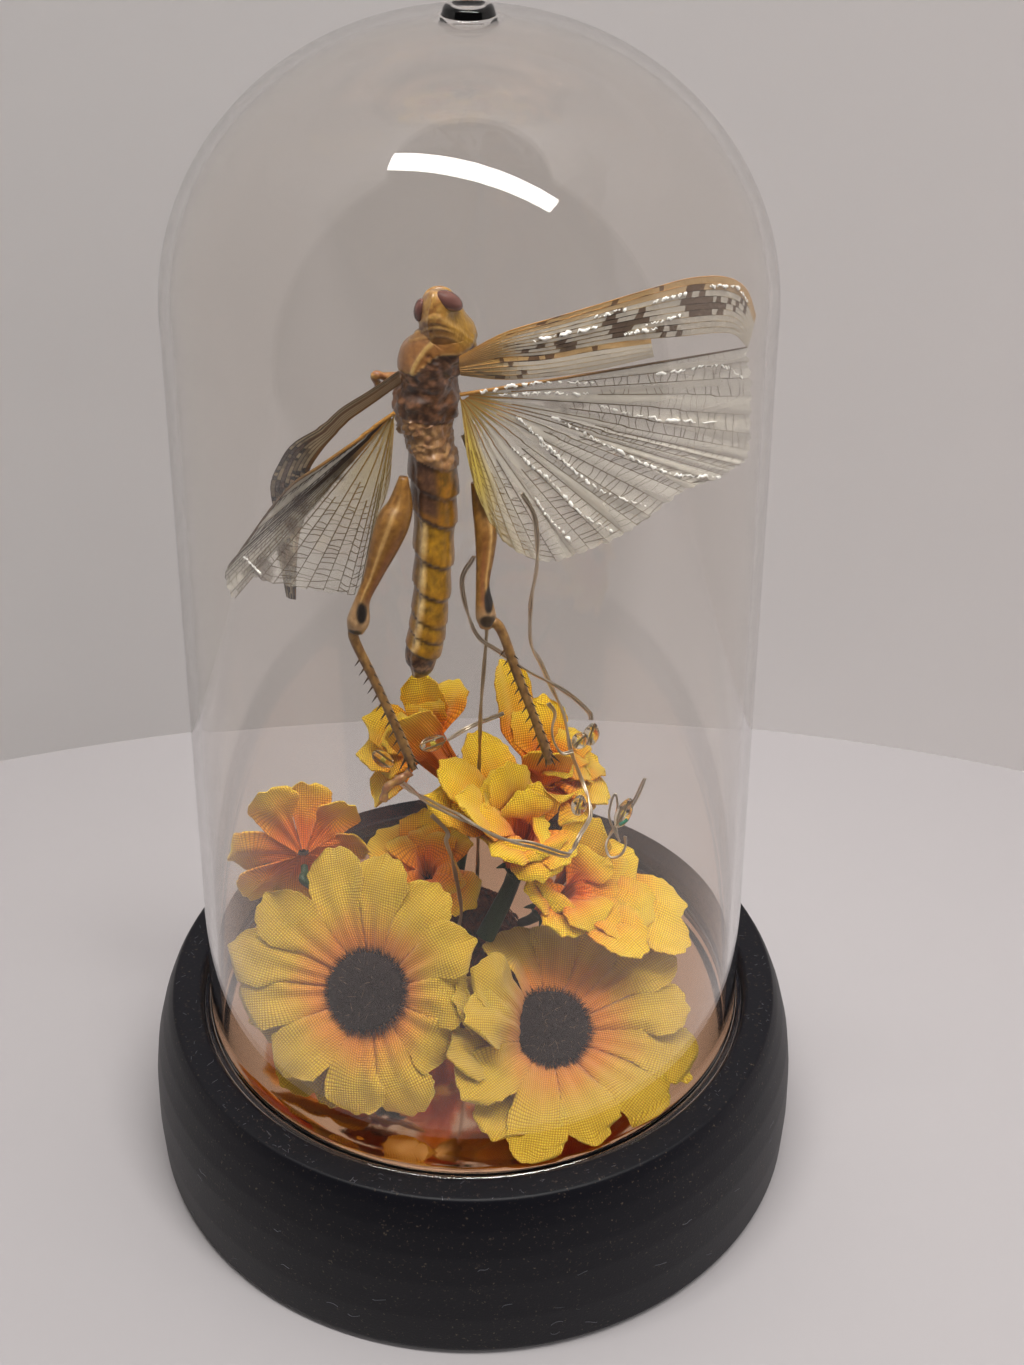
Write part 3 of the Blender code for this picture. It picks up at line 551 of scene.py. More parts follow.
SUPPORT_ROUTE = [
    (0.6, 2.0, 47.6), (0.9, 0.9, 66.0), (0.8, 0.5, 73.0), (1.1, 1.4, 78.0), (1.4, 0.6, 90.0),
    (2.4, 0.5, 106.0), (2.2, 1.6, 116.0), (1.8, 3.4, 124.0), (1.0, 4.4, 131.0), (-1.2, 4.6, 137.2)]
LIGHT_RUNS = {
    "light_wire_upper": [
        (7.6, -5.0, 132.6), (9.6, -5.5, 128.5), (10.0, -5.0, 120.4), (9.2, -4.0, 113.0),
        (9.3, -3.0, 104.9), (10.9, -2.0, 100.5), (12.9, -1.0, 94.8), (15.0, 0.0, 88.8),
        (16.3, 0.0, 81.7), (18.2, -2.0, 76.9), (19.2, -5.0, 75.2), (19.3, -8.0, 74.0),
        (17.4, -12.0, 73.2), (16.3, -13.5, 71.6)],
    "light_wire_lower": [
        (16.0, -13.9, 71.7), (14.9, -15.2, 71.7), (9.7, -16.5, 74.8), (4.2, -15.8, 75.9), (-1.4, -13.8, 78.1),
        (-7.0, -8.2, 77.3), (-11.3, -2.4, 76.4), (-12.9, 1.0, 75.4)],
    "light_wire_coil": [
        (0.4, -4.5, 121.5), (-1.5, -5.0, 117.0), (0.5, -5.0, 108.1), (4.4, -5.0, 104.4),
        (8.9, -4.5, 100.4), (13.2, -4.0, 97.4), (16.2, -3.5, 94.7), (18.9, -3.0, 91.4),
        (19.3, -3.0, 89.9)],
    "light_wire_hook": [
        (16.5, -3.0, 83.6), (14.7, -3.0, 83.2), (13.4, -2.5, 85.0), (13.0, -2.0, 87.4),
        (13.4, -2.0, 90.5), (12.3, -2.0, 92.5)],
    "light_wire_foot": [
        (-6.7, -10.2, 76.2), (-4.2, -10.8, 73.2), (-4.4, -10.9, 71.2), (-3.5, -10.3, 67.0),
        (-2.4, -8.5, 58.2), (-2.1, -8.0, 53.1), (-3.0, -8.0, 48.6)],
    "light_wire_branch": [(-4.0, -1.4, 84.9), (-0.6, 2.2, 84.9), (5.2, 2.6, 87.4)],
    "light_wire_end": [
        (28.6, -3.0, 78.0), (26.9, -3.8, 73.8), (23.4, -5.0, 68.6), (22.2, -6.6, 66.8),
        (22.9, -8.0, 65.4), (24.6, -8.2, 66.0), (25.4, -7.6, 67.6), (25.3, -7.0, 69.0)],
}
END_LOOP = [(24.0, -7.6, 69.2), (22.6, -6.5, 72.6), (22.9, -6.0, 75.6), (23.5, -5.8, 76.9),
            (23.9, -6.2, 75.0), (23.6, -6.8, 72.4), (23.9, -7.2, 69.8), (24.4, -7.4, 68.2)]
# How many strands, how far each runs from the middle, and its radius
PAIR, FINE_PAIR, HEAVY_PAIR = (2, 0.16, 0.2), (2, 0.2, 0.19), (2, 0.33, 0.25)
TURNS_PER_MM = 0.03
wire = new_material("wire_metal", Base_Color=(0.46, 0.38, 0.27), Metallic=1.0, Roughness=0.38)[0]
string = new_material("string_metal", Base_Color=(0.66, 0.57, 0.46), Metallic=1.0, Roughness=0.34)[0]
add_piece("support_pair", *twisted_strands(SUPPORT_ROUTE, *PAIR, 0.0), wire, "wire_metal",
          ["support_wire"])
for name, knots in LIGHT_RUNS.items():
    pair = HEAVY_PAIR if name == "light_wire_lower" else FINE_PAIR
    add_piece(name + "_strands", *twisted_strands(knots, *pair, TURNS_PER_MM), string, "wire_metal",
              [name])
add_piece("light_end_loop", *tube_shape(smooth_route(END_LOOP, 8), 0.2), string, "wire_metal")


# ---- Light beads -------------------------------------------------------------------------
# Each light is a tiny yellow chip, soldered to two leads inside a drop of clear resin. The last
# one has a green joint on its leads.
def smooth_numbers(numbers, per_span):
    """Numbers eased from one to the next, as many as smooth_route gives points."""
    return [point.x for point in smooth_route([(number, 0, 0) for number in numbers], per_span)]


LIGHT_BEADS = [  # middle, direction, length
    ((19.4, -3.0, 87.0), (0.2, 0, 1), 4.2),
    ((17.3, -6.8, 88.5), (0.6, 0, 0.8), 3.0),
    ((17.4, -7.6, 76.0), (0.2, 0.2, 1), 3.6),
    ((-6.5, -2.4, 85.0), (1, 0.2, 0.3), 4.4),
    ((-15.1, 3.0, 77.9), (0.8, 0, -0.7), 4.2),
    ((24.9, -7.0, 73.9), (0.42, 0.15, 1), 5.6),
]
DROP_STEPS = [-0.5, -0.46, -0.38, -0.24, -0.05, 0.12, 0.27, 0.38, 0.46, 0.5]
DROP_GIRTHS = [0.3, 0.55, 0.85, 1.15, 1.3, 1.25, 1.0, 0.75, 0.5, 0.3]
CHIP_REACH = 0.35
LEADS = (2, 0.4, 0.13)
END_JOINT = [(24.2, -8.3, 72.5), (24.9, -8.4, 73.1), (25.4, -8.2, 73.5)]
resin, tree, shader = new_material("bead_resin", Base_Color=(0.93, 0.86, 0.70), Roughness=0.16,
                                   Transmission_Weight=1.0, IOR=1.36)
let_shadows_through(tree, shader, (0.9, 0.88, 0.8))
chip = new_material("chip", Base_Color=(0.75, 0.62, 0.12), Roughness=0.5)[0]
for number, (middle, along, length) in enumerate(LIGHT_BEADS, start=1):
    place, axis = Vector(middle), Vector(along).normalized()
    drop = smooth_route([place + axis * length * step for step in DROP_STEPS], 3)
    add_piece(f"light_drop_{number}", *tube_shape(drop, smooth_numbers(DROP_GIRTHS, 3), 20), resin,
              "bead_resin", [f"light_bead_{number}"], crease=80)
    core = [place - axis * CHIP_REACH, place + axis * CHIP_REACH]
    add_piece(f"light_chip_{number}", *tube_shape(core, 0.3, 4), chip, "bead_resin")
    leads = [place + axis * length * step for step in (-0.45, 0.0, 0.45)]
    add_piece(f"light_leads_{number}", *twisted_strands(leads, *LEADS, 0.0), wire, "bead_resin")
solder = new_material("end_solder", Base_Color=(0.01, 0.16, 0.09), Roughness=0.4)[0]
add_piece("light_end_joint", *tube_shape(smooth_route(END_JOINT, 4), 0.32), solder, "bead_resin")


# ---- Cloth flowers -----------------------------------------------------------------------
# Each flower is stamped from woven polyester, dyed orange at the base and yellow outside, and
# heat-pressed into ruffled petals. A layer's petals are one piece of cloth round the centre.

# A flower's heart is its middle. An open one faces an azimuth and an elevation in degrees, and a
# half-open one grows as a funnel from its root. tips, under and fill are where the petals of its
# layers end, inner is how far from the heart they start, and bow is how far they arch. disc is
# its pad's radius, stem is its stalk's half widths, and foot is where that stalk ends.
FLOWERS = {
    "flower_front_left": dict(
        heart=(-17.1, -21.5, 48.1), faces=(-114, 42), bow=2.6, disc=7.3, foot=(-6.0, -8.0, 38.0),
        tips=[(0.5, -20, 58), (-5.5, -14, 64.5), (-14, -9.5, 67.5), (-23.5, -7, 67.1),
              (-34.5, -12.5, 61.5), (-40.0, -17.5, 54.5), (-39.0, -21.8, 46.4),
              (-31.5, -30.5, 38.5), (-18.6, -33.5, 32.2), (-9.2, -34.5, 33.0),
              (-3.4, -28.0, 40.5), (-0.5, -25.5, 49.5)],
        under=[(-12, -31.0, 30.8), (-24.5, -30.5, 30.8), (-31.5, -26.0, 31.0),
               (-37.5, -18.0, 38.5), (-35.5, -9.5, 51.0), (-25.0, -4.0, 57.0)]),
    "flower_front_right": dict(
        heart=(12.7, -20.5, 37.9), faces=(-84, 60), bow=2.6, disc=7.1, foot=(5.5, -7.5, 34.5),
        tips=[(36.0, -18.5, 41.5), (34.0, -10.0, 46.5), (25.1, -1.5, 42.3), (14.6, -0.5, 43.4),
              (5.0, -2.2, 44.0), (-0.6, -22.5, 54.5), (-1.4, -31.0, 51.0), (-2.6, -37.0, 39.0),
              (9.2, -44.2, 30.8), (20.2, -40.0, 30.8), (31.2, -32.6, 30.8), (37.5, -24.5, 33.6)],
        fill=[(-3.6, -26.5, 51.5), (-4.2, -34.0, 45.0), (2.6, -41.0, 34.0)]),
    "flower_left": dict(
        heart=(-29.6, 3.0, 58.0), faces=(98, 20), bow=1.0, disc=4.6, foot=(-7.5, 4.0, 40.0),
        stem=(0.6, 0.7, 0.7, 0.6, 0.6), sepals=0, inner=1.2,
        tips=[(-35.8, 3.0, 71.0), (-28.8, 5.0, 71.0), (-20.8, 4.5, 67.0), (-18.0, 0.6, 59.6),
              (-20.5, 4.0, 48.3), (-31.0, 5.0, 43.0), (-40.2, 3.5, 47.0), (-43.0, 2.5, 56.0)]),
    "flower_back_left": dict(
        heart=(-6.9, 8.0, 76.7), root=(-3.1, 9.0, 70.0), bow=1.0, disc=3.6, foot=(-2.8, 10.5, 44.0),
        tips=[(-9.2, 14.5, 87.5), (-2.5, 18.0, 83.5), (-11.8, -1.5, 89.0), (-18.6, 11.5, 80.6),
              (-19.8, 7.5, 74.5), (-16.8, 3.5, 67.8), (-9.5, 20.0, 72.0)]),
    "flower_back_right": dict(
        heart=(11.4, 10.0, 69.4), root=(10.0, 9.8, 61.4), bow=1.0, disc=3.6, foot=(5.6, 9.5, 43.0),
        tips=[(4.4, 19.5, 86.6), (12.6, 22.0, 77.8), (19.0, 20.0, 71.0), (23.2, 15.0, 66.8),
              (23.4, 6.5, 65.4), (13.8, 3.6, 78.4)],
        fill=[(19.4, 2.0, 64.6), (20.5, 8.0, 68.0), (8.5, 2.5, 70.5), (14.6, 2.0, 68.6)]),
    "flower_middle": dict(
        heart=(8.6, -5.0, 68.0), root=(7.6, -3.2, 60.5), bow=1.0, disc=3.4, foot=(2.0, -4.6, 45.2),
        stem=(2.4, 1.7, 1.3, 1.5, 1.7),
        tips=[(-5.5, -3.2, 81.4), (-8.4, -5.4, 75.6), (-2.7, -9.5, 78.6), (0.0, 10.6, 78.0),
              (4.8, -2.2, 80.8), (11.0, -0.2, 75.4), (16.6, -9.5, 66.2), (11.1, -13.6, 64.4),
              (3.6, -13.6, 70.4)]),
    "flower_right": dict(
        heart=(14.8, -8.0, 58.6), root=(12.4, -5.2, 52.6), bow=1.0, disc=3.6, foot=(8.6, 5.0, 40.0),
        tips=[(20.8, -2.0, 69.6), (28.0, -1.0, 60.4), (36.3, -6.0, 52.3), (36.3, -13.0, 50.0),
              (28.2, -18.6, 52.4), (15.5, -17.5, 56.0), (8.8, -13.0, 62.0)]),
    "flower_inner_left": dict(
        heart=(-8.3, 0.0, 55.8), root=(-7.5, 1.6, 49.2), bow=0.8, disc=3.4, foot=(-7.4, 1.0, 40.0),
        tips=[(-17.0, 9.5, 57.4), (-8.4, 10.5, 61.2), (-2.4, 8.2, 58.4),
              (0.2, -4.0, 51.4), (-7.5, -6.5, 51.3), (-16.5, -6.0, 53.0)]),
}
CLOTH = 0.28
REST_Z = DISC_TOP + 0.6
FOOT_TOP, FOOT_INSIDE, WALL_INSIDE, WALL_TAPER = 33, 45.0, 43.9, 0.012
ACROSS, ALONG = 16, 44
WEAVE_PITCH = 0.4
UNDERSIDE_DYE = 0.85
OPEN_EDGES = dict(start=0.42, widest=5.0, slit=0.5)
FUNNEL_EDGES = dict(start=0.4, widest=4.5, slit=0.3)


def stance(flower):
    """A flower's heart, its root if it has one, and the way it faces."""
    heart = Vector(flower["heart"])
    if "root" in flower:
        root = Vector(flower["root"])
        return heart, root, (heart - root).normalized()
    azimuth, elevation = (math.radians(a) for a in flower["faces"])
    return heart, None, Vector((math.cos(elevation) * math.cos(azimuth),
                                math.cos(elevation) * math.sin(azimuth), math.sin(elevation)))


def inside_glass(point):
    """Bend a point back from the disc and from the dome's wall."""
    high = max(point.z, REST_Z)
    limit = FOOT_INSIDE if high < FOOT_TOP else WALL_INSIDE - (high - FOOT_TOP) * WALL_TAPER
    shrink = min(1.0, limit / math.hypot(point.x, point.y))
    return Vector((point.x * shrink, point.y * shrink, high))


def smooth_step(low, high, value):
    """Zero at low and one at high, with a smooth rise or fall between them."""
    share = min(1.0, max(0.0, (value - low) / (high - low)))
    return share * share * (3 - 2 * share)


def own_width(run, start, widest):
    """Half width of a free petal: it widens steadily, then ends in a broad blunt tip."""
    swell = start + (1 - start) * min(run / 0.6, 1.0) ** 0.8
    return widest * swell * (1 - (max(run - 0.68, 0.0) / 0.345) ** 2.6) ** 0.5


def petal_line(heart, front, tip, inner, bow, root):
    """A petal's middle line, and the side and normal that its cloth follows."""
    spread = tip - heart
    flat = (spread - front * spread.dot(front)).normalized()
    rim = heart + flat * inner
    chord = tip - rim
    normal = (front - chord * front.dot(chord) / chord.length_squared).normalized()
    funnel = 0.25 if root else 0.0
    line = []
    for row in range(ALONG + 1):
        run = row / ALONG
        if run < funnel:
            line.append((root + flat * inner * 0.6).lerp(rim, run / funnel))
        else:
            out = (run - funnel) / (1 - funnel)
            line.append(rim + chord * out + normal * bow * 4 * out * (1 - out))
    return line, front.cross(flat), normal


def petal_edge(line, neighbour, side, start, widest, slit):
    """One long edge: it follows the seam to the neighbour, and past the slit its own outline."""
    edge = []
    for row, (middle, other) in enumerate(zip(line, neighbour)):
        run = row / ALONG
        half = own_width(run, start, widest)
        seam = (other - middle) / 2
        seam *= min(1.0, half * 1.12 / seam.length)
        edge.append(seam.lerp(side * half, smooth_step(slit, slit + 0.26, run)))
    return edge


def petal_shape(line, normal, right_edge, left_edge, lift, crumple):
    """One petal as a thin closed sheet, with the numbers its cloth material reads."""
    waves, phase = chance.uniform(0.9, 1.6), chance.uniform(0, math.tau)
    ruffle, cup = chance.uniform(0.35, 0.9) * crumple, chance.uniform(-0.5, 0.9)
    point_out, ahead = chance.uniform(0.4, 1.6), (line[-1] - line[-4]).normalized()
    top, low, marks = [], [], {"run": [], "warp": [], "weft": []}
    walked = 0.0
    for row, middle in enumerate(line):
        run = row / ALONG
        walked += (middle - line[row - 1]).length if row else 0.0
        free = smooth_step(0.3, 0.9, run)
        for column in range(ACROSS + 1):
            across = column / ACROSS * 2 - 1  # -1 at the left edge, 1 at the right
            reach = (right_edge if across > 0 else left_edge)[row] * abs(across)
            scallop = 0.035 * math.sin(walked * 2.3 + phase) + 0.03 * chance.uniform(-1, 1)
            reach *= 1 + scallop * free * abs(across) ** 3
            tip_line = 0.3 * math.sin(across * 5 + phase) - point_out * across ** 2
            reach += ahead * tip_line * smooth_step(0.75, 1.0, run)
            wave = math.sin(math.tau * waves * run + phase + 1.4 * across)
            rise = across ** 2 * free * (cup + ruffle * wave) + lift * free
            rise += 0.22 * math.cos(across * math.pi * 2.0 + phase) * math.sin(math.pi * run)
            rise += 0.6 * crumple * noise.noise(middle * 0.22 + reach * 0.3) * free
            rise -= 0.45 * abs(across) ** 6 * smooth_step(0.9, 0.3, run)
            point = middle + reach + normal * rise
            top.append(inside_glass(point + normal * CLOTH / 2))
            low.append(inside_glass(point - normal * CLOTH / 2))
            marks["run"].append(run)
            marks["warp"].append(reach.length * math.copysign(1, across) / WEAVE_PITCH)
            marks["weft"].append(walked / WEAVE_PITCH)
    both = {name: numbers * 2 for name, numbers in marks.items()}
    both["run"] = marks["run"] + [run * UNDERSIDE_DYE for run in marks["run"]]
    return top + low, sheet_faces(ALONG + 1, ACROSS + 1), both


def sheet_faces(rows, columns):
    """The two sides of a thin sheet of points in rows, and the hem all round its edge."""
    count = rows * columns
    faces = []
    for row in range(rows - 1):
        for column in range(columns - 1):
            a = row * columns + column
            quad = (a, a + 1, a + columns + 1, a + columns)
            faces += [quad, tuple(count + i for i in reversed(quad))]
    hem = list(range(columns)) + [row * columns + columns - 1 for row in range(1, rows)]
    hem += [(rows - 1) * columns + column for column in range(columns - 2, -1, -1)]
    hem += [row * columns for row in range(rows - 2, 0, -1)]
    return faces + [(b, a, count + a, count + b) for a, b in zip(hem, hem[1:] + hem[:1])]


def weave_group():
    """Plain weave: the height of threads that pass over and under, and a mask of their tops."""
    group, given, out = new_group("weave", [("Warp", "Float", 0.0), ("Weft", "Float", 0.0)],
                                  [("Height", "Float"), ("Tops", "Float")])
    waves = []
    for name in ("Warp", "Weft"):
        turn = add_node(group, "Math", {0: given.outputs[name], 1: math.pi}, operation="MULTIPLY")
        waves.append(add_node(group, "Math", {0: turn.outputs[0]}, operation="SINE").outputs[0])
    crossing = add_node(group, "Math", {0: waves[0], 1: waves[1]}, operation="MULTIPLY")
    height = add_node(group, "Math", {0: crossing.outputs[0]}, operation="ABSOLUTE")
    tops = add_node(group, "MapRange", {"Value": height.outputs[0], "From Min": 0.05, "From Max": 0.6})
    group.links.new(height.outputs[0], out.inputs["Height"])
    group.links.new(tops.outputs["Result"], out.inputs["Tops"])
    return group


WEAVE = weave_group()


def cloth_material(name, base, edge, first, last):
    """Woven polyester, dyed from one colour at the heart to another at the edge."""
    made, tree, shader = new_material(name, Roughness=0.75, Subsurface_Weight=0.35,
                                      Subsurface_Radius=(1.0, 0.6, 0.15), Subsurface_Scale=0.6 * MM,
                                      Sheen_Weight=0.15)
    run = add_node(tree, "Attribute", attribute_name="run").outputs["Fac"]
    grain = place_grain(tree, Size=700.0, Patch=160.0, Cover=0.5)
    shift = add_node(tree, "Math", {0: grain.outputs["Mask"], 1: 0.12, 2: -0.06}, operation="MULTIPLY_ADD")
    blotched = add_node(tree, "Math", {0: run, 1: shift.outputs[0]}, operation="ADD")
    fade = add_node(tree, "MapRange", {"Value": blotched.outputs[0], "From Min": first,
                                       "From Max": last}, interpolation_type="SMOOTHSTEP")
    dye = mix_colors(tree, fade.outputs["Result"], base, edge)
    threads = add_node(tree, "Group", node_tree=WEAVE)
    for socket, mark in (("Warp", "warp"), ("Weft", "weft")):
        source = add_node(tree, "Attribute", attribute_name=mark).outputs["Fac"]
        tree.links.new(source, threads.inputs[socket])
    # The hollows between the threads are darkened: painted shade.
    hollow_shade = mix_colors(tree, 1.0, dye, (0.55, 0.45, 0.35), "MULTIPLY")
    tree.links.new(mix_colors(tree, threads.outputs["Tops"], hollow_shade, dye), shader.inputs["Base Color"])
    place_bump(tree, shader, threads.outputs["Height"], 0.12)
    return made


# The front flowers' cloth is a darker, duller copy of the petal cloth: painted shade for the light the dome's
# wall holds back from them.
shaded_front_cloth = cloth_material("front_petals_painted_shade", (0.78, 0.26, 0.03), (0.70, 0.47, 0.03), 0.12, 0.66)
cloth = cloth_material("petal_cloth", (1.0, 0.22, 0.003), (1.0, 0.66, 0.02), 0.22, 0.95)


def add_layer(name, node, heart, root, front, tips, inner, bow):
    """One stamped layer; the half-open flowers have narrower petals and are less crumpled."""
    level = front.orthogonal().normalized()
    ahead = front.cross(level)
    tips = sorted((Vector(tip) for tip in tips),
                  key=lambda tip: math.atan2((tip - heart).dot(ahead), (tip - heart).dot(level)))
    lines = [petal_line(heart, front, tip, inner, bow, root) for tip in tips]
    shapes, marks = [], {"run": [], "warp": [], "weft": []}
    edges, crumple = (FUNNEL_EDGES, 0.35) if root else (OPEN_EDGES, 1.0)
    for number, (line, side, normal) in enumerate(lines):
        after, before = lines[(number + 1) % len(lines)][0], lines[number - 1][0]
        points, faces, numbers = petal_shape(
            line, normal, petal_edge(line, after, side, **edges),
            petal_edge(line, before, -side, **edges), 0.7 * (number % 2), crumple)
        shapes.append((points, faces))
        for mark in marks:
            marks[mark] += numbers[mark]
    add_piece(name, *joined(shapes), shaded_front_cloth if "front" in name else cloth, "petal_cloth",
              [node] if node else [], crease=60, marks=marks)


chance = random.Random(4)
for name, flower in FLOWERS.items():
    heart, root, front = stance(flower)
    tips, bow = flower["tips"], flower["bow"]
    inner = flower.get("inner", flower["disc"] * (1.0 if root else 0.7))
    add_layer(name + "_cloth", name + "_petals", heart, root, front, tips, inner, bow)
    if "under" in flower:
        add_layer(name + "_under_cloth", name + "_under_petals", heart - front * 2.0, None, front,
                  flower["under"], flower["disc"] * 0.6, 0)
    if "fill" in flower:
        add_layer(name + "_fill_cloth", None, heart - front * 1.2, None, front, flower["fill"], inner,
                  0.5)
    if root:
        tips = [Vector(tip) for tip in tips]
        tips = [tip.lerp(after, 0.5).lerp(heart, 0.25) for tip, after in zip(tips, tips[1:])]
        add_layer(name + "_inner_cloth", None, heart + front * 0.6, root + front * 1.5, front, tips,
                  inner * 0.7, bow + 1.2)


# ---- Flower centres ----------------------------------------------------------------------
# A round pad of dark brown flock is glued in the middle of each flower, and its fibres stand out
# all ways. A moulded green cup, most with five sepals, holds the petals from behind on its stem.
FLOCK, PALE_FLOCK, PAD_BROWN = (0.022, 0.008, 0.006), (0.26, 0.17, 0.11), (0.014, 0.005, 0.004)
PAD_STEPS = [(0.6, 0.45), (1.2, 0.66), (1.8, 0.82), (2.6, 0.84), (3.2, 0.76), (3.7, 0.55), (4.0, 0.3)]
TUFTS, SMALL_TUFTS = 2600, 250
STEM_GIRTHS = (1.8, 1.6, 1.1, 0.9, 0.8)
SEPALS = 5


def tuft_shapes(middle, front, radius, count):
    """Short tapering fibres that stand on a low dome, and the colour of their points."""
    level = front.orthogonal().normalized()
    other = front.cross(level)
    shapes, tints = [], []
    for _ in range(count):
        turn, out = chance.uniform(0, math.tau), chance.random() ** 0.4
        flat = level * math.cos(turn) + other * math.sin(turn)
        root = middle + flat * radius * 0.84 * out + front * (4.0 - 2.6 * out ** 3)
        lean = (front * chance.uniform(0.1, 0.9) + flat * out ** 2 * 1.4
                + Vector([chance.uniform(-0.8, 0.8) for _ in range(3)])).normalized()
        bend = Vector([chance.uniform(-0.35, 0.35) for _ in range(3)])
        reach = chance.uniform(0.8, 2.2)
        route = [root - lean * 0.3, root + lean * reach * 0.5, root + lean * reach + bend]
        shapes.append(tube_shape(route, [0.075, 0.055, 0.02], 3))
        shade = PALE_FLOCK if chance.random() < 0.05 else FLOCK
        tints += [*shade, 1.0] * len(shapes[-1][0])
    return shapes, tints


def sepal(cup, front, number):
    """A narrow green leaf that lies against the underside of the petals."""
    flat = Matrix.Rotation(math.tau * number / SEPALS, 3, front) @ front.orthogonal().normalized()
    path = smooth_route([cup[1] + flat * 0.8, cup[0] + flat * 2.0, cup[0] + flat * 3.6 - front * 0.6])
    last = len(path) - 1
    return tube_shape(path, [0.75 * (1 - (i / last) ** 2) + 0.05 for i in range(last + 1)], 10)


flock = stained_material("flower_centre", Roughness=0.9)
leaf = new_material("stem_green", Base_Color=(0.012, 0.04, 0.012), Roughness=0.5)[0]
for name, flower in FLOWERS.items():
    heart, root, front = stance(flower)
    radius = flower["disc"] * (1.03 if "front" in name else 0.4)
    centre = root or heart
    pad = tube_shape([centre + front * lift for lift, girth in PAD_STEPS],
                     [radius * girth for lift, girth in PAD_STEPS], 40)
    tufts, tints = tuft_shapes(centre, front, radius, TUFTS if "front" in name else SMALL_TUFTS)
    add_piece(name + "_pad", *joined([pad] + tufts), flock, "flower_centre", [name + "_centre"],
              crease=80, marks={"stain": [*PAD_BROWN, 1.0] * len(pad[0]) + tints})
    behind = root or heart - front * 2.0
    if "under" in flower:
        behind = behind - front * 1.2
    foot = Vector(flower["foot"])
    cup = [behind - front * 0.7, behind - front * 2.2, behind - front * 4.0]
    bend = cup[-1] - front * 1.0 + (foot - cup[-1]) * 0.3
    girths = smooth_numbers(flower.get("stem", STEM_GIRTHS), 8)
    green = [tube_shape(smooth_route(cup + [bend, foot], 8), girths, 16)]
    green += [sepal(cup, front, number) for number in range(flower.get("sepals", SEPALS))]
    add_piece(name + "_stalk", *joined(green), leaf, "stem_green", [name + "_stem"])


# ---- Locust body -------------------------------------------------------------------------
# The dried body is one horny shell: a head with bulging eyes, a saddle-shaped neck shield, a
# wrinkled thorax that carries the wings, and an abdomen of overlapping rings.
BODY = [  # x, y, z, half width, half depth
    (-4.5, 3.5, 161.2, 1.2, 1.6), (-4.5, 3.3, 160.4, 2.0, 3.0), (-4.5, 3.5, 159.2, 2.7, 3.8),
    (-4.3, 3.9, 157.7, 3.4, 4.2), (-3.8, 4.4, 156.0, 4.1, 4.5), (-3.5, 4.9, 154.1, 4.5, 4.9),
    (-3.5, 4.7, 152.6, 4.9, 5.0), (-4.8, 4.5, 151.1, 5.0, 5.1), (-6.0, 4.3, 149.3, 4.7, 5.2),
    (-6.2, 4.2, 147.2, 4.5, 5.2), (-6.6, 3.9, 144.2, 5.0, 5.2), (-6.8, 3.5, 141.1, 4.8, 5.3),
    (-6.4, 3.2, 139.4, 3.8, 5.2), (-6.1, 2.8, 136.6, 3.5, 5.0), (-5.7, 1.8, 132.7, 3.7, 4.6),
    (-5.6, 0.6, 127.7, 3.4, 4.1), (-5.7, -0.9, 122.7, 3.1, 3.8), (-6.0, -2.3, 117.6, 2.9, 3.6),
    (-6.4, -3.8, 112.6, 2.7, 3.4), (-7.2, -5.6, 107.5, 2.7, 2.9), (-7.9, -6.5, 105.1, 2.6, 2.5),
    (-8.1, -7.2, 103.1, 2.0, 1.8), (-8.8, -7.6, 101.6, 0.7, 0.7)]
SMALL_LEGS = [
    [(-7.0, 8.0, 151.0), (-9.2, 9.6, 148.5), (-8.0, 11.8, 146.5), (-6.8, 12.2, 149.5)],
    [(-9.0, 5.5, 147.0), (-12.0, 4.2, 147.0), (-14.2, 3.4, 147.6), (-13.4, 5.4, 144.0)],
    [(-3.0, 8.5, 151.0), (-1.6, 10.2, 148.5), (-2.6, 12.0, 146.5), (-3.8, 12.4, 149.5)],
    [(-4.0, 8.0, 143.5), (-2.2, 10.0, 141.5), (-3.2, 11.6, 138.5), (-4.6, 11.8, 141.5)],
]
HIND_FOOT = [(-9.9, -10.2, 85.0), (-11.7, -10.8, 83.9), (-13.7, -11.3, 82.7), (-14.4, -11.6, 80.4)]
BODY_SIDES = 96
BACK_LINE = math.radians(210)  # the insect's back faces the camera and a little to its left
HEAD_LEVEL = 158.9
COLLAR_GROOVES = (157.4, 156.5, 155.2)
COLLAR_LINES = (158.6, 157.0, 155.7)
COLLAR_PITS = ((156.2, -1), (152.4, -8))  # height, degrees from the back line
ABDOMEN_TOP = 142.0
# Heights where each abdomen ring ends and covers the next one
RING_ENDS = (142.0, 135.6, 131.0, 126.5, 120.3, 115.2, 111.0, 108.5, 106.0)
RING_SLANT = 0.42
TAN, OCHRE, LEAF_YELLOW = (0.30, 0.125, 0.028), (0.50, 0.28, 0.07), (0.36, 0.19, 0.010)
PALE, EARTH, SOOT = (0.66, 0.45, 0.16), (0.27, 0.13, 0.055), (0.020, 0.007, 0.003)
AMBER, HONEY, OLIVE = (0.33, 0.14, 0.006), (0.40, 0.20, 0.008), (0.15, 0.075, 0.006)
KEEL_HIGHLIGHT_CREAM = (0.80, 0.58, 0.27)


def blend(first, second, share):
    """A colour this share of the way from one to another."""
    share = min(1.0, max(0.0, share))
    return tuple(a + (b - a) * share for a, b in zip(first, second))


def near(value, middle, reach):
    """One at the middle, falling smoothly to zero this far away."""
    return smooth_step(reach, 0.0, abs(value - middle)) if abs(value - middle) < reach else 0.0


def collar_drop(turn):
    """How far the collar lines of the neck have dropped at this turn from the back."""
    lean = max(-80.0, min(60.0, turn + 22.0))
    return (0.0013 if lean < 0 else 0.0006) * lean * lean


def shield_rear(turn):
    """Height of the neck shield's rear edge: a lobe under the back line, higher on the flank."""
    right = smooth_step(0.0, 24.0, -turn)
    left = smooth_step(8.0, 60.0, turn)
    return 149.2 + 3.3 * right - 0.5 * left + 2.4 * smooth_step(60.0, 110.0, abs(turn))


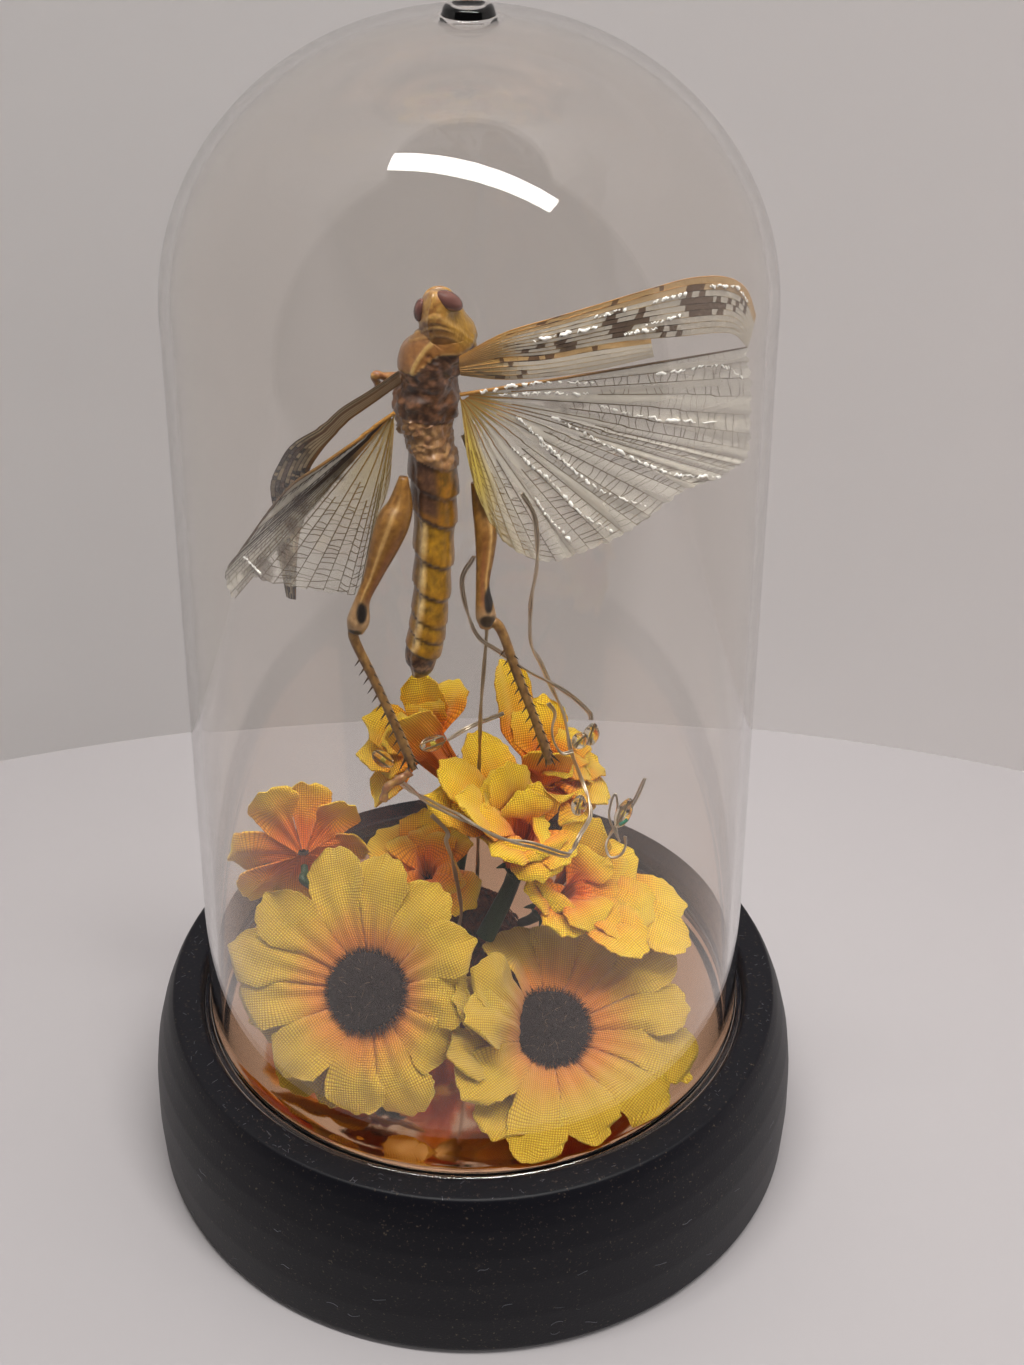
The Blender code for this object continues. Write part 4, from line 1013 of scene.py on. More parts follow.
def on_shield(along, turn):
    """One on the neck shield and zero below its rear edge."""
    return smooth_step(-0.12, 0.12, along - shield_rear(turn))


def neck_relief(point, along, turn):
    """How far head, shield and thorax stand out from their smooth form, in millimetres."""
    shield = on_shield(along, turn)
    level = along + collar_drop(turn)
    relief = 0.22 * shield * smooth_step(0.2, -0.1, level - HEAD_LEVEL)
    for groove in COLLAR_GROOVES:
        relief -= 0.11 * near(level, groove, 0.3)
        relief += 0.05 * near(level, groove + 0.5, 0.35)
    relief -= 0.8 * near(along, 157.2, 3.2) * smooth_step(35.0, 85.0, -turn)
    relief -= 1.5 * near(along, 154.6, 2.9) * smooth_step(35.0, 85.0, turn)
    relief += 0.3 * near(turn, 2, 7) * shield
    for height, pit_turn in COLLAR_PITS:
        relief -= 0.3 * near(along, height, 0.5) * near(turn, pit_turn, 7)
    lumps = (1 - shield) * smooth_step(158.0, 150.0, along)
    relief += lumps * 0.75 * noise.fractal(point * 0.36, 0.9, 2.1, 5)
    relief += lumps * (0.9 * near(along, 144.6, 2.2) * near(turn, -12, 34) - 0.2)
    return relief + 0.05 * noise.noise(point * 3.0)


def abdomen_relief(point, along, turn):
    """How far the abdomen's rings and keel stand out, in millimetres."""
    relief = 0.30 * near(turn, 0, 16)
    for end in RING_ENDS:
        if along >= end:
            relief += 0.42 * smooth_step(4.5, 0.0, along - end) - 0.1
            break
    crinkle = smooth_step(134.8, 137.0, along) + 0.25 * near(turn, 0, 26)
    return relief + crinkle * 0.5 * noise.fractal(point * 1.1, 0.8, 2.2, 4)


def horn_relief(point, along, turn):
    return (neck_relief if along > ABDOMEN_TOP else abdomen_relief)(point, along, turn)


def head_color(point, along, turn):
    """Tan, and leaf yellow down its right cheek."""
    mottle = noise.fractal(point * 0.9, 0.7, 2.3, 4)
    return blend(blend(OCHRE, TAN, 0.35 + mottle), LEAF_YELLOW, smooth_step(20.0, 95.0, -turn) * 1.2)


def neck_color(point, along, turn):
    """The ruled shield, and the dark rough thorax below its edge."""
    mottle = noise.fractal(point * 0.9, 0.7, 2.3, 4)
    right = smooth_step(20.0, 95.0, -turn)
    level = along + collar_drop(turn)
    color = blend(blend(TAN, OCHRE, smooth_step(155, 159, level)), (0.27, 0.115, 0.03), 0.4 + mottle)
    color = blend(color, LEAF_YELLOW, right * smooth_step(150.5, 154.5, along) * 1.3)
    for line in COLLAR_LINES:
        color = blend(color, PALE, 0.35 * near(level, line, 0.4))
    for groove in COLLAR_GROOVES:
        color = blend(color, (0.18, 0.08, 0.015), 0.5 * near(level, groove, 0.2) * (0.3 + right))
    color = blend(color, PALE, 0.8 * near(turn, 2, 6) * smooth_step(156.0, 153.5, along))
    color = blend(color, PALE, 0.5 * near(along, shield_rear(turn) + 0.25, 0.35))
    for height, pit_turn in COLLAR_PITS:
        color = blend(color, (0.09, 0.02, 0.01), near(along, height, 0.4) * near(turn, pit_turn, 6))
    reddish = smooth_step(25, 70, abs(turn + 20))
    rough = blend((0.055, 0.024, 0.014), (0.26, 0.115, 0.05), 0.22 + 0.75 * mottle + 0.35 * reddish)
    return blend(rough, color, on_shield(along, turn))


def abdomen_color(point, along, turn):
    """Dark in front and honey behind, with a cream line down the keel as a painted highlight, ruled rings and
    a dark end.
    """
    mottle = noise.fractal(point * 0.9, 0.7, 2.3, 4)
    if along > RING_ENDS[3]:
        dark = blend((0.075, 0.032, 0.018), EARTH, 0.05 + 0.6 * mottle)
        color = blend(dark, blend(AMBER, OLIVE, 0.4 + mottle), smooth_step(30.0, 52.0, -turn))
    else:
        color = blend(HONEY, OLIVE, 0.35 + 0.7 * mottle)
        color = blend(color, blend(EARTH, AMBER, 0.4), smooth_step(14.0, 50.0, turn))
        # Painted highlight: a cream line down the keel where the shell shines.
        color = blend(color, KEEL_HIGHLIGHT_CREAM, near(turn, 4, 20))
    for end in RING_ENDS[3:]:
        color = blend(color, AMBER, 0.5 * near(along, end + 0.8, 0.9))
        color = blend(color, (0.06, 0.022, 0.006), 0.9 * near(along, end - 0.1, 0.36))
        color = blend(color, SOOT, 0.7 * near(along, end - 0.9, 0.8) * near(turn, 8, 12))
        color = blend(color, SOOT, 0.8 * near(along, end + 1.9, 0.45) * near(turn, -14, 5))
    end_dark = smooth_step(106.6, 105.4, along) * smooth_step(101.9, 103.2, along)
    return blend(color, blend((0.045, 0.014, 0.006), (0.30, 0.15, 0.06), 0.25 + mottle), end_dark)


def horn_color(point, along, turn):
    """The dried colour of the shell at one place."""
    if along + collar_drop(turn) > HEAD_LEVEL:
        return head_color(point, along, turn)
    if along > ABDOMEN_TOP:
        return neck_color(point, along, turn)
    if along > RING_ENDS[1]:
        return blend(EARTH, (0.42, 0.24, 0.10), 0.4 + noise.fractal(point * 0.9, 0.7, 2.3, 4))
    return abdomen_color(point, along, turn)


def smooth_rows(rows, per_span):
    """The places and the two sizes of rows of stations, with smooth steps put between them."""
    sizes = [smooth_numbers(column, per_span) for column in list(zip(*rows))[3:]]
    return list(zip(smooth_route([row[:3] for row in rows], per_span), *sizes))


def body_shape():
    """The whole shell as one loft, and the colour of its points."""
    stations = smooth_rows(BODY, 14)
    places = [place for place, wide, deep in stations]
    rings, colors = [], []
    last = len(places) - 1
    for i, (place, wide, deep) in enumerate(stations):
        tangent = (places[min(i + 1, last)] - places[max(i - 1, 0)]).normalized()
        up = (Vector((0, 1, 0)) - tangent * tangent.y).normalized()
        side = tangent.cross(up).normalized()
        ring = []
        for j in range(BODY_SIDES):
            a = math.tau * j / BODY_SIDES
            outward = up * math.cos(a) * deep + side * math.sin(a) * wide
            turn = math.degrees((a - BACK_LINE + math.pi) % math.tau - math.pi)
            slant = RING_SLANT * outward.x * smooth_step(143.0, 138.0, place.z)
            point = place + outward
            relief = horn_relief(point, point.z + slant, turn)
            ring.append(point + outward.normalized() * relief * min(1.0, wide / 2.5))
            colors += [*horn_color(point, point.z + slant, turn), 1.0]
        rings.append(ring)
    return loft_shape(rings), colors


horn = stained_material("locust_body", Roughness=0.35, Coat_Weight=1.0, Coat_Roughness=0.25)
(points, faces), colors = body_shape()
add_piece("body_shell", points, faces, horn, "locust_body", ["locust_body"], crease=80,
          marks={"stain": colors})


def ball_shape(middle, axes, rows=24, sides=36):
    """An ellipsoid on three half axes, the first its pole."""
    pole, wide, deep = (Vector(axis) for axis in axes)
    rings = []
    for row in range(rows + 1):
        fall = math.pi * (0.02 + 0.96 * row / rows)
        rings.append([Vector(middle) + pole * math.cos(fall)
                      + (wide * math.cos(math.tau * i / sides)
                         + deep * math.sin(math.tau * i / sides)) * math.sin(fall)
                      for i in range(sides)])
    return loft_shape(rings)


eye = new_material("eye", Base_Color=(0.13, 0.055, 0.045), Roughness=0.15, Coat_Weight=0.6,
                   Coat_Roughness=0.04)[0]
right_eye = ball_shape((-3.0, 1.6, 160.3), [(1.85, 0.2, -1.2), (0.6, 0.6, 1.0), (0.3, -1.2, 0.2)])
left_eye = ball_shape((-7.3, 3.2, 158.2), [(0.25, 0, 1.75), (0.95, 0, -0.1), (0, 1.3, 0)])
add_piece("eyes", *joined([right_eye, left_eye]), eye, "locust_body", crease=80)


def knobbly_leg(route):
    """A small folded leg, thicker at its joints, and the colour of its points."""
    path = smooth_route(route, 8)
    shape = tube_shape(path, [0.55 + 0.2 * abs(math.cos(i * 0.4)) for i in range(len(path))], 12)
    tints = []
    for point in shape[0]:
        tints += [*blend((0.30, 0.12, 0.05), OCHRE, 0.3 + noise.noise(point * 1.5)), 1.0]
    return shape, tints


small_legs = [knobbly_leg(route) for route in SMALL_LEGS + [HIND_FOOT]]
add_piece("small_legs", *joined([shape for shape, tints in small_legs]), horn, "locust_body",
          crease=80, marks={"stain": [number for shape, tints in small_legs for number in tints]})


# ---- Hind legs ---------------------------------------------------------------------------
# Each long leg is a swollen thigh with a pale ridge down its middle, a knee with black patches,
# and a thin shin with rows of dark-tipped spines and a clawed foot.

# Each leg: its thigh's x, y, z and half width, its shin's route, its black patches (see spotted),
# and where the pale ridge and the red flank lie over its front, from -1 to 1
HIND_LEGS = {
    "hind_leg_left": (
        [(-10.1, -2.8, 134.3, 0.7), (-10.7, -3.6, 130.0, 2.0), (-11.8, -4.6, 127.5, 2.6),
         (-13.2, -5.7, 124.1, 2.3), (-15.1, -7.4, 119.5, 1.4), (-16.6, -8.6, 116.3, 1.2),
         (-17.3, -9.4, 113.3, 1.8), (-17.8, -9.7, 111.4, 1.3)],
        [(-17.9, -9.7, 112.2), (-18.0, -9.9, 110.0), (-15.5, -10.0, 103.3), (-12.7, -10.0, 95.5),
         (-10.3, -10.0, 88.3), (-9.4, -10.0, 85.4)],
        [(-16.7, 115.0, 0.8, 1.5, 1.0), (-17.9, 111.7, 1.1, 0.7, 0.9)], (-0.15, 0.55)),
    "hind_leg_right": (
        [(0.7, 0.5, 131.6, 0.8), (1.5, -0.5, 127.7, 1.4), (2.2, -1.8, 124.6, 1.8),
         (2.1, -3.3, 121.2, 1.5), (1.7, -5.4, 117.1, 1.1), (2.0, -7.0, 114.0, 1.5),
         (2.2, -7.6, 112.2, 1.6), (2.1, -7.8, 110.8, 1.0)],
        [(2.4, -7.8, 111.9), (4.4, -8.0, 110.6), (7.2, -8.0, 101.8), (9.8, -8.0, 94.0),
         (11.8, -8.0, 87.5), (12.4, -8.0, 84.9)],
        [(2.6, 115.4, 0.7, 1.7, 1.0), (2.4, 112.5, 1.2, 1.0, 0.9)], (0.45, -0.1)),
}
THIGH_SIDES = 48
SHIN_WIDTHS = [0.95, 0.8, 0.75, 0.7, 0.8, 0.45]
SPINES, SPINE_REACH, CLAW_REACH = 11, 2.0, 3.1
CLAW_FAN = (-1.0, -0.35, 0.3, 0.9)
straw = stained_material("locust_leg", Roughness=0.35, Coat_Weight=0.5, Coat_Roughness=0.3)


def thigh_color(run, across, front, point, patches, bands):
    """Colour of a thigh; across is -1 to 1 over its front, and bands places the pale and red."""
    pale, red = bands
    mottle = noise.fractal(point * 1.2, 0.8, 2.2, 3)
    ribs = 0.5 + 0.5 * math.sin(run * 95 - abs(across - pale) * 7)
    color = blend((0.30, 0.145, 0.028), (0.20, 0.085, 0.014), 0.3 + mottle + 0.3 * ribs * (run < 0.6))
    color = blend(color, (0.22, 0.075, 0.025), 0.8 * near(across, red, 0.5) * smooth_step(0.2, 0.5, run))
    ridge = near(across, pale, 0.22) * front * smooth_step(0.03, 0.2, run)
    color = blend(color, (0.60, 0.38, 0.15), 0.8 * ridge)
    color = blend(color, (0.42, 0.26, 0.13), smooth_step(0.66, 0.8, run))
    return [*blend(color, (0.012, 0.008, 0.007), spotted(patches, point.x, point.z)), 1.0]


def thigh_shape(thigh, patches, bands):
    """A thigh with a keel along its pale band, and the colour of its points."""
    route = smooth_route([row[:3] for row in thigh], 12)
    girths = smooth_numbers([row[3] for row in thigh], 12)
    rings, tints = [], []
    for i, (point, (tangent, side, up), girth) in enumerate(zip(route, route_frames(route), girths)):
        ring = []
        for j in range(THIGH_SIDES):
            turn = math.tau * j / THIGH_SIDES
            out = side * math.cos(turn) + up * math.sin(turn)
            front = smooth_step(0.0, 0.4, -out.y)
            keel = 1 + 0.07 * near(out.x, bands[0], 0.2) * front - 0.03
            ring.append(point + out * girth * keel)
            tints += thigh_color(i / (len(route) - 1), out.x, front, ring[-1], patches, bands)
        rings.append(ring)
    return loft_shape(rings), tints


def spotted(spots, x, z):
    """How deep in a dark spot this place is; a spot is x, z, half width, half height, depth."""
    deepest = 0.0
    for middle, height, wide, high, depth in spots:
        reach = math.hypot((x - middle) / wide, (z - height) / high)
        deepest = max(deepest, depth * smooth_step(1.25, 0.8, reach))
    return deepest


def spine(root, tip, thick):
    """A tapering spine that darkens toward its tip, and the colour of its points."""
    path = [root.lerp(tip, i / 4) for i in range(5)]
    shape = tube_shape(path, [thick * (1 - 0.22 * i) for i in range(5)], 8)
    tints = []
    for point in shape[0]:
        share = (point - root).length / (tip - root).length
        tints += [*blend((0.20, 0.10, 0.03), (0.015, 0.008, 0.006), share * 1.4), 1.0]
    return shape, tints


def shin_shapes(shin):
    """The shin, its spines and claws, each with the colour of its points."""
    rod = tube_shape(smooth_route(shin, 12), smooth_numbers(SHIN_WIDTHS, 12), 16)
    tints = []
    for point in rod[0]:
        shade = 0.35 + noise.fractal(point * 1.1, 0.8, 2.2, 3)
        tints += [*blend((0.38, 0.21, 0.065), (0.17, 0.075, 0.022), shade), 1.0]
    start, end = Vector(shin[1]), Vector(shin[-2])
    along = (end - start).normalized()
    spikes = []
    for side in (-1, 1):
        out = (Vector((side, -0.7, 0)) + along * 0.8).normalized()
        for i in range(SPINES):
            root = start.lerp(end, 0.16 + 0.078 * i + 0.02 * side)
            spikes.append(spine(root + out * 0.3, root + out * SPINE_REACH, 0.24))
    for fan in CLAW_FAN:
        out = (along * 1.2 + Vector((fan, -0.3, 0))).normalized()
        spikes.append(spine(end + out * 0.3, end + out * CLAW_REACH, 0.34))
    return [rod] + [shape for shape, tint in spikes], tints + [n for shape, tint in spikes for n in tint]


for name, (thigh, shin, patches, bands) in HIND_LEGS.items():
    upper, upper_tints = thigh_shape(thigh, patches, bands)
    lower, lower_tints = shin_shapes(shin)
    add_piece(name + "_limb", *joined([upper] + lower), straw, "locust_leg", [name], crease=80,
              marks={"stain": upper_tints + lower_tints})


# ---- Wings -------------------------------------------------------------------------------
# The forewings are narrow leathery sheets with brown cells; the hindwings are clear pleated
# fans. Both dried open on raised veins, and the left pair is torn and folded at its ends.
def sheet_shape(grid, thickness):
    """A thin closed sheet over a grid of rows of points."""
    rows, columns = len(grid), len(grid[0])
    top, low = [], []
    for r in range(rows):
        for c in range(columns):
            along = grid[min(r + 1, rows - 1)][c] - grid[max(r - 1, 0)][c]
            over = grid[r][min(c + 1, columns - 1)] - grid[r][max(c - 1, 0)]
            normal = along.cross(over).normalized()
            top.append(grid[r][c] + normal * thickness / 2)
            low.append(grid[r][c] - normal * thickness / 2)
    return top + low, sheet_faces(rows, columns)


def strip_grid(lead, trail, rows, columns):
    """A strip from its front edge to its rear edge, bowed a little toward the viewer."""
    front, back = smooth_route(lead, rows), smooth_route(trail, rows)
    return [[a.lerp(b, c / columns) + Vector((0, -0.8 * (c / columns) * (1 - c / columns), 0))
             for c in range(columns + 1)] for a, b in zip(front, back)]


def fan_grid(root, outline, pleat, rows, columns):
    """Ribs run from the root to the outline, and the sheet between them is folded in pleats."""
    base = Vector(root)
    rim = smooth_route(outline, rows)
    grid = []
    for i, point in enumerate(rim):
        fold = pleat * math.cos(math.pi * i / 3)
        ripple = 1 + 0.008 * math.sin(i * 2.1) * smooth_step(0.0, 20.0, (point - base).length)
        grid.append([base + (point - base) * (0.03 + 0.97 * c / columns) * ripple
                     + Vector((0, fold * c / columns, 0)) for c in range(columns + 1)])
    return grid


def at_grid(grid, along, over):
    """The point this share of the way along the rows and over the columns."""
    r, c = along * (len(grid) - 1), over * (len(grid[0]) - 1)
    i, j = min(int(r), len(grid) - 2), min(int(c), len(grid[0]) - 2)
    near_end = grid[i][j].lerp(grid[i + 1][j], r - i)
    far_end = grid[i][j + 1].lerp(grid[i + 1][j + 1], r - i)
    return near_end.lerp(far_end, c - j)


def film_patch(corners):
    """The thin film of one cell."""
    a, b, c, d = corners
    up = (c - a).cross(d - b).normalized() * 0.04
    points = [corner + up for corner in corners] + [corner - up for corner in corners]
    return points, [(0, 1, 2, 3), (7, 6, 5, 4), (0, 4, 5, 1), (1, 5, 6, 2), (2, 6, 7, 3), (3, 7, 4, 0)]


def vein_web(place, veins, pitch, girth, stain, slant=0.15, films=None):
    """Long veins and the short ones between them, with a colour for each point.

    place(along, across) is a point of the wing; each vein is its place across and its start.
    films, when given, is filled with the film of each cell and its colours.
    """
    shapes, tints = [], []

    def lay(route, widths, sides, across):
        shapes.append(tube_shape(route, widths, sides))
        tints.extend(number for point in shapes[-1][0] for number in stain(point, across, True))

    for across, start in veins:
        shares = [start + (1 - start) * i / 36 for i in range(37)]
        lay([place(share, across) for share in shares], [girth * (1.5 - 0.9 * share) for share in shares],
            6, across)
    for number, ((first, start), (second, later)) in enumerate(zip(veins, veins[1:])):
        step = pitch / (place(1, first) - place(0, first)).length
        along = max(start, later) + step * (0.5 + 0.5 * (number % 2))
        before = (place(max(start, later), first), place(max(start, later), second))
        while along < 1.0 + step:
            skew = step * chance.uniform(-slant, slant)
            pair = (place(min(1, along), first), place(min(1, along + skew), second))
            if films is not None:
                patch = film_patch((*before, pair[1], pair[0]))
                middle = (before[0] + pair[1]) / 2
                films.append((patch, stain(middle, (first + second) / 2) * len(patch[0])))
            if (pair[0] - pair[1]).length > 0.3 and along < 1:
                kink = (pair[0] - before[0]) * chance.uniform(-0.15, 0.15)
                lay([pair[0], (pair[0] + pair[1]) / 2 + kink, pair[1]], girth * 0.7, 4,
                    (first + second) / 2)
            before = pair
            along += step * (1 + slant * chance.uniform(-1, 1))
    return shapes, tints


def wing_material(name, bump, **values):
    """A finish whose colour and clearness come from the piece, over fine grain."""
    made, tree, shader = new_material(name, **values)
    stain = add_node(tree, "Attribute", attribute_name="stain")
    tree.links.new(stain.outputs["Color"], shader.inputs["Base Color"])
    tree.links.new(stain.outputs["Alpha"], shader.inputs["Alpha"])
    grain = place_grain(tree, Size=1500.0, Patch=500.0, Cover=0.5)
    place_bump(tree, shader, grain.outputs["Height"], bump)
    return made


STRAW, MILK, DEEP_BROWN = (0.46, 0.32, 0.14), (0.80, 0.73, 0.60), (0.035, 0.016, 0.01)
ORANGE_VEIN, WING_YELLOW = (0.50, 0.24, 0.05), (0.62, 0.47, 0.09)
FOREWING_SPOTS = [  # x, z, half width, half height, depth
    (6.2, 156.1, 1.0, 0.8, 0.7), (8.0, 155.4, 1.0, 0.7, 0.8), (10.0, 155.7, 0.8, 0.8, 0.7),
    (9.8, 157.1, 1.4, 0.7, 0.4), (13.9, 156.3, 1.7, 1.4, 0.9), (12.7, 157.7, 0.8, 0.7, 0.7),
    (15.1, 158.7, 0.8, 0.8, 0.6), (21.2, 158.8, 2.1, 2.4, 0.9), (20.5, 159.9, 1.3, 1.0, 0.8),
    (24.7, 159.9, 2.1, 1.2, 0.8), (28.9, 157.8, 2.2, 1.4, 0.8), (32.1, 162.4, 2.1, 2.2, 1.0),
    (32.5, 160.1, 1.1, 1.0, 0.8), (34.9, 161.3, 1.6, 1.7, 0.7), (34.6, 158.9, 0.8, 1.0, 0.6),
    (36.3, 161.9, 1.0, 0.7, 0.6), (38.9, 161.0, 1.4, 1.4, 0.7), (36.9, 163.9, 1.3, 0.8, 0.5),
    (12.5, 159.9, 0.6, 0.5, 0.9), (16.5, 160.8, 0.6, 0.3, 0.9), (20.4, 161.9, 1.4, 0.5, 0.9),
    (24.4, 163.4, 0.8, 0.5, 0.9), (26.8, 164.2, 0.5, 0.3, 0.8), (29.7, 164.9, 0.6, 0.3, 0.8),
    (5.2, 158.0, 1.6, 0.3, 0.6), (10.2, 159.3, 1.0, 0.3, 0.6), (5.0, 153.8, 1.9, 0.5, 0.6),
    (8.6, 154.0, 2.2, 0.5, 0.9), (11.2, 154.2, 1.0, 0.5, 0.9), (5.6, 153.0, 0.4, 0.5, 0.9),
    (7.5, 152.0, 0.5, 0.7, 0.8), (11.3, 151.5, 1.3, 0.7, 0.5), (4.0, 151.2, 4.0, 0.3, 0.8),
    (16.1, 154.7, 0.8, 0.5, 0.6), (18.6, 154.8, 1.3, 0.7, 0.7), (17.9, 157.1, 1.3, 0.5, 0.4),
    (-27.0, 133.8, 1.4, 0.9, 0.9), (-29.5, 130.9, 1.2, 1.3, 1.0), (-29.3, 128.9, 1.0, 1.1, 1.0)]
RIGHT_FOLD = [(-1.6, -0.6, 151.0), (4.4, -4.6, 154.2), (10.7, -4.1, 154.4), (17.9, -3.6, 155.6)]
FOREWINGS = {  # strips, each with its front edge, its rear edge and how many cells it has across
    "forewing_right": [
        ([(-1.6, -0.4, 152.4), (4.8, -4.6, 158), (12.4, -4, 160.2), (19.6, -3.5, 162.3),
          (26.5, -3, 164.3), (31.3, -2.7, 165.5), (36.2, -2.3, 165.5), (39.5, -2.1, 163.6),
          (41.5, -2, 159.4)],
         RIGHT_FOLD + [(24.4, -3.1, 156.3), (30.2, -2.7, 156.6), (35.4, -2.4, 157.0),
                       (38.4, -2.2, 156.6), (40.7, -2.1, 154.4)], 9),
        (RIGHT_FOLD + [(26.0, -3.1, 156.3)],
         [(-1.4, -0.6, 149.6), (4.5, -4.6, 150.8), (11.0, -4.2, 151.0), (18.0, -3.7, 151.8),
          (26.6, -3.1, 153.6)], 5)],
    "forewing_left": [
        ([(-10.6, 1.2, 149.4), (-15.1, 1.4, 146.0), (-19.2, 1.8, 143.1), (-22.2, 2.6, 140.1),
          (-27.1, 4.0, 136.4), (-29.6, 4.8, 132.5), (-31.2, 5.6, 128.4), (-31.2, 7.2, 122.9),
          (-31.4, 7.6, 118.5), (-30.8, 8.0, 112.8), (-30.2, 8.2, 106.6)],
         [(-10.3, 1.8, 147.2), (-14.3, 2.0, 144.0), (-18.4, 2.4, 140.7), (-21.0, 3.0, 137.9),
          (-23.0, 4.0, 135.0), (-25.0, 5.0, 131.3), (-25.6, 5.8, 127.6), (-26.0, 7.2, 122.9),
          (-27.4, 7.6, 118.5), (-28.2, 8.0, 112.8), (-28.7, 8.2, 106.1)], 8)],
}
CELL = 0.85
STRIP_STEPS = (14, 30)


def left_forewing_stain(point, across, vein):
    """Striped along its rolled front, with a net of dark cells in its torn end."""
    netted = smooth_step(-23.0, -26.0, point.x) * (noise.noise(point * 0.33) > -0.4)
    if vein:
        return [*blend((0.20, 0.11, 0.05), (0.03, 0.015, 0.01), max(netted, near(across, 0.1, 0.2))), 1.0]
    color = blend((0.62, 0.50, 0.32), (0.16, 0.08, 0.05), near(across, 0.3, 0.14))
    color = blend(color, (0.30, 0.13, 0.04), near(across, 0.95, 0.1))
    color = blend(color, (0.07, 0.045, 0.03), netted * chance.choice((0.25, 0.6, 1.0)))
    return [*color, 0.92 - 0.2 * netted]


def forewing_stain(point, across, vein=False):
    """Colour and how solid a forewing is at this point; across is 0 at its front edge."""
    if point.x < -10:
        return left_forewing_stain(point, across, vein)
    dark = spotted(FOREWING_SPOTS, point.x, point.z)
    root = smooth_step(9.0, 3.0, point.x)
    front = smooth_step(0.26, 0.14, across)
    if vein:
        color = blend(blend((0.36, 0.25, 0.12), ORANGE_VEIN, max(front, root * 0.7)), DEEP_BROWN, dark * 1.3)
        return [*color, 1.0]
    color = blend(blend(MILK, STRAW, root), (0.50, 0.29, 0.09), front * 0.85)
    filled = dark * chance.uniform(0.35, 1.15) > 0.6
    return [*blend(color, (0.13, 0.07, 0.04), 0.9 * filled),
            min(0.95, 0.5 + 0.4 * root + 0.35 * front + 0.4 * filled)]


leathery = wing_material("forewing", 0.12, Roughness=0.28, Coat_Weight=0.5, Coat_Roughness=0.1)
for name, strips in FOREWINGS.items():
    films, webs, tints = [], [], []
    for lead, trail, cells in strips:
        grid = strip_grid(lead, trail, *STRIP_STEPS)
        veins = [(i / cells, 0.0) for i in range(cells + 1)]
        web, tint = vein_web(lambda along, across: at_grid(grid, along, across), veins, CELL,
                             0.075, forewing_stain, 0.3, films)
        webs += web
        tints += tint
    add_piece(name + "_sheet", *joined([patch for patch, stain in films]), leathery, "forewing",
              [name], crease=80, marks={"stain": [number for patch, stain in films for number in stain]})
    add_piece(name + "_veins", *joined(webs), leathery, "forewing", crease=80, marks={"stain": tints})


def film_glints(grid, ridges):
    """Flakes along lines of the wing where its stiff film is folded up, white as painted glints."""
    flakes = []
    for knots in ridges:
        on_wing = [min((point for row in grid for point in row),
                       key=lambda point: math.hypot(point.x - x, point.z - z)) for x, z in knots]
        route = smooth_route([point + Vector((0, -0.25, 0)) for point in on_wing], 60)
        i = 0
        while i + 3 < len(route):
            length = chance.randint(3, 16)
            flake = [point + Vector((0, 0, chance.uniform(-0.25, 0.25)))
                     for point in route[i:i + length:2]]
            if len(flake) > 1:
                width, last = chance.uniform(0.1, 0.34), len(flake) - 1
                flakes.append(tube_shape(flake, [width * (1 - 0.7 * abs(2 * j / last - 1) ** 3)
                                                 for j in range(last + 1)], 6))
            i += length + chance.randint(0, 4)
    return joined(flakes)


# The flakes' white is a painted highlight: the glints that the wing's folds would catch.
painted_glint = new_material("wing_painted_glint", Base_Color=(1.0, 0.99, 0.95), Roughness=0.25, Coat_Weight=1.0,
                     Coat_Roughness=0.2)[0]
FOREWING_RIDGES = [[(9, 156.9), (18, 158.6)], [(17.5, 160.2), (22, 161.2)], [(25, 158.6), (30.5, 160.2)],
                   [(26, 162.2), (31, 163.4)], [(34, 164.3), (38, 164.0), (40, 161.5)],
                   [(22, 157.2), (27, 158.0)]]
right_grid = strip_grid(*FOREWINGS["forewing_right"][0][:2], *STRIP_STEPS)
add_piece("forewing_right_glints", *film_glints(right_grid, FOREWING_RIDGES), painted_glint, "forewing",
          crease=80)
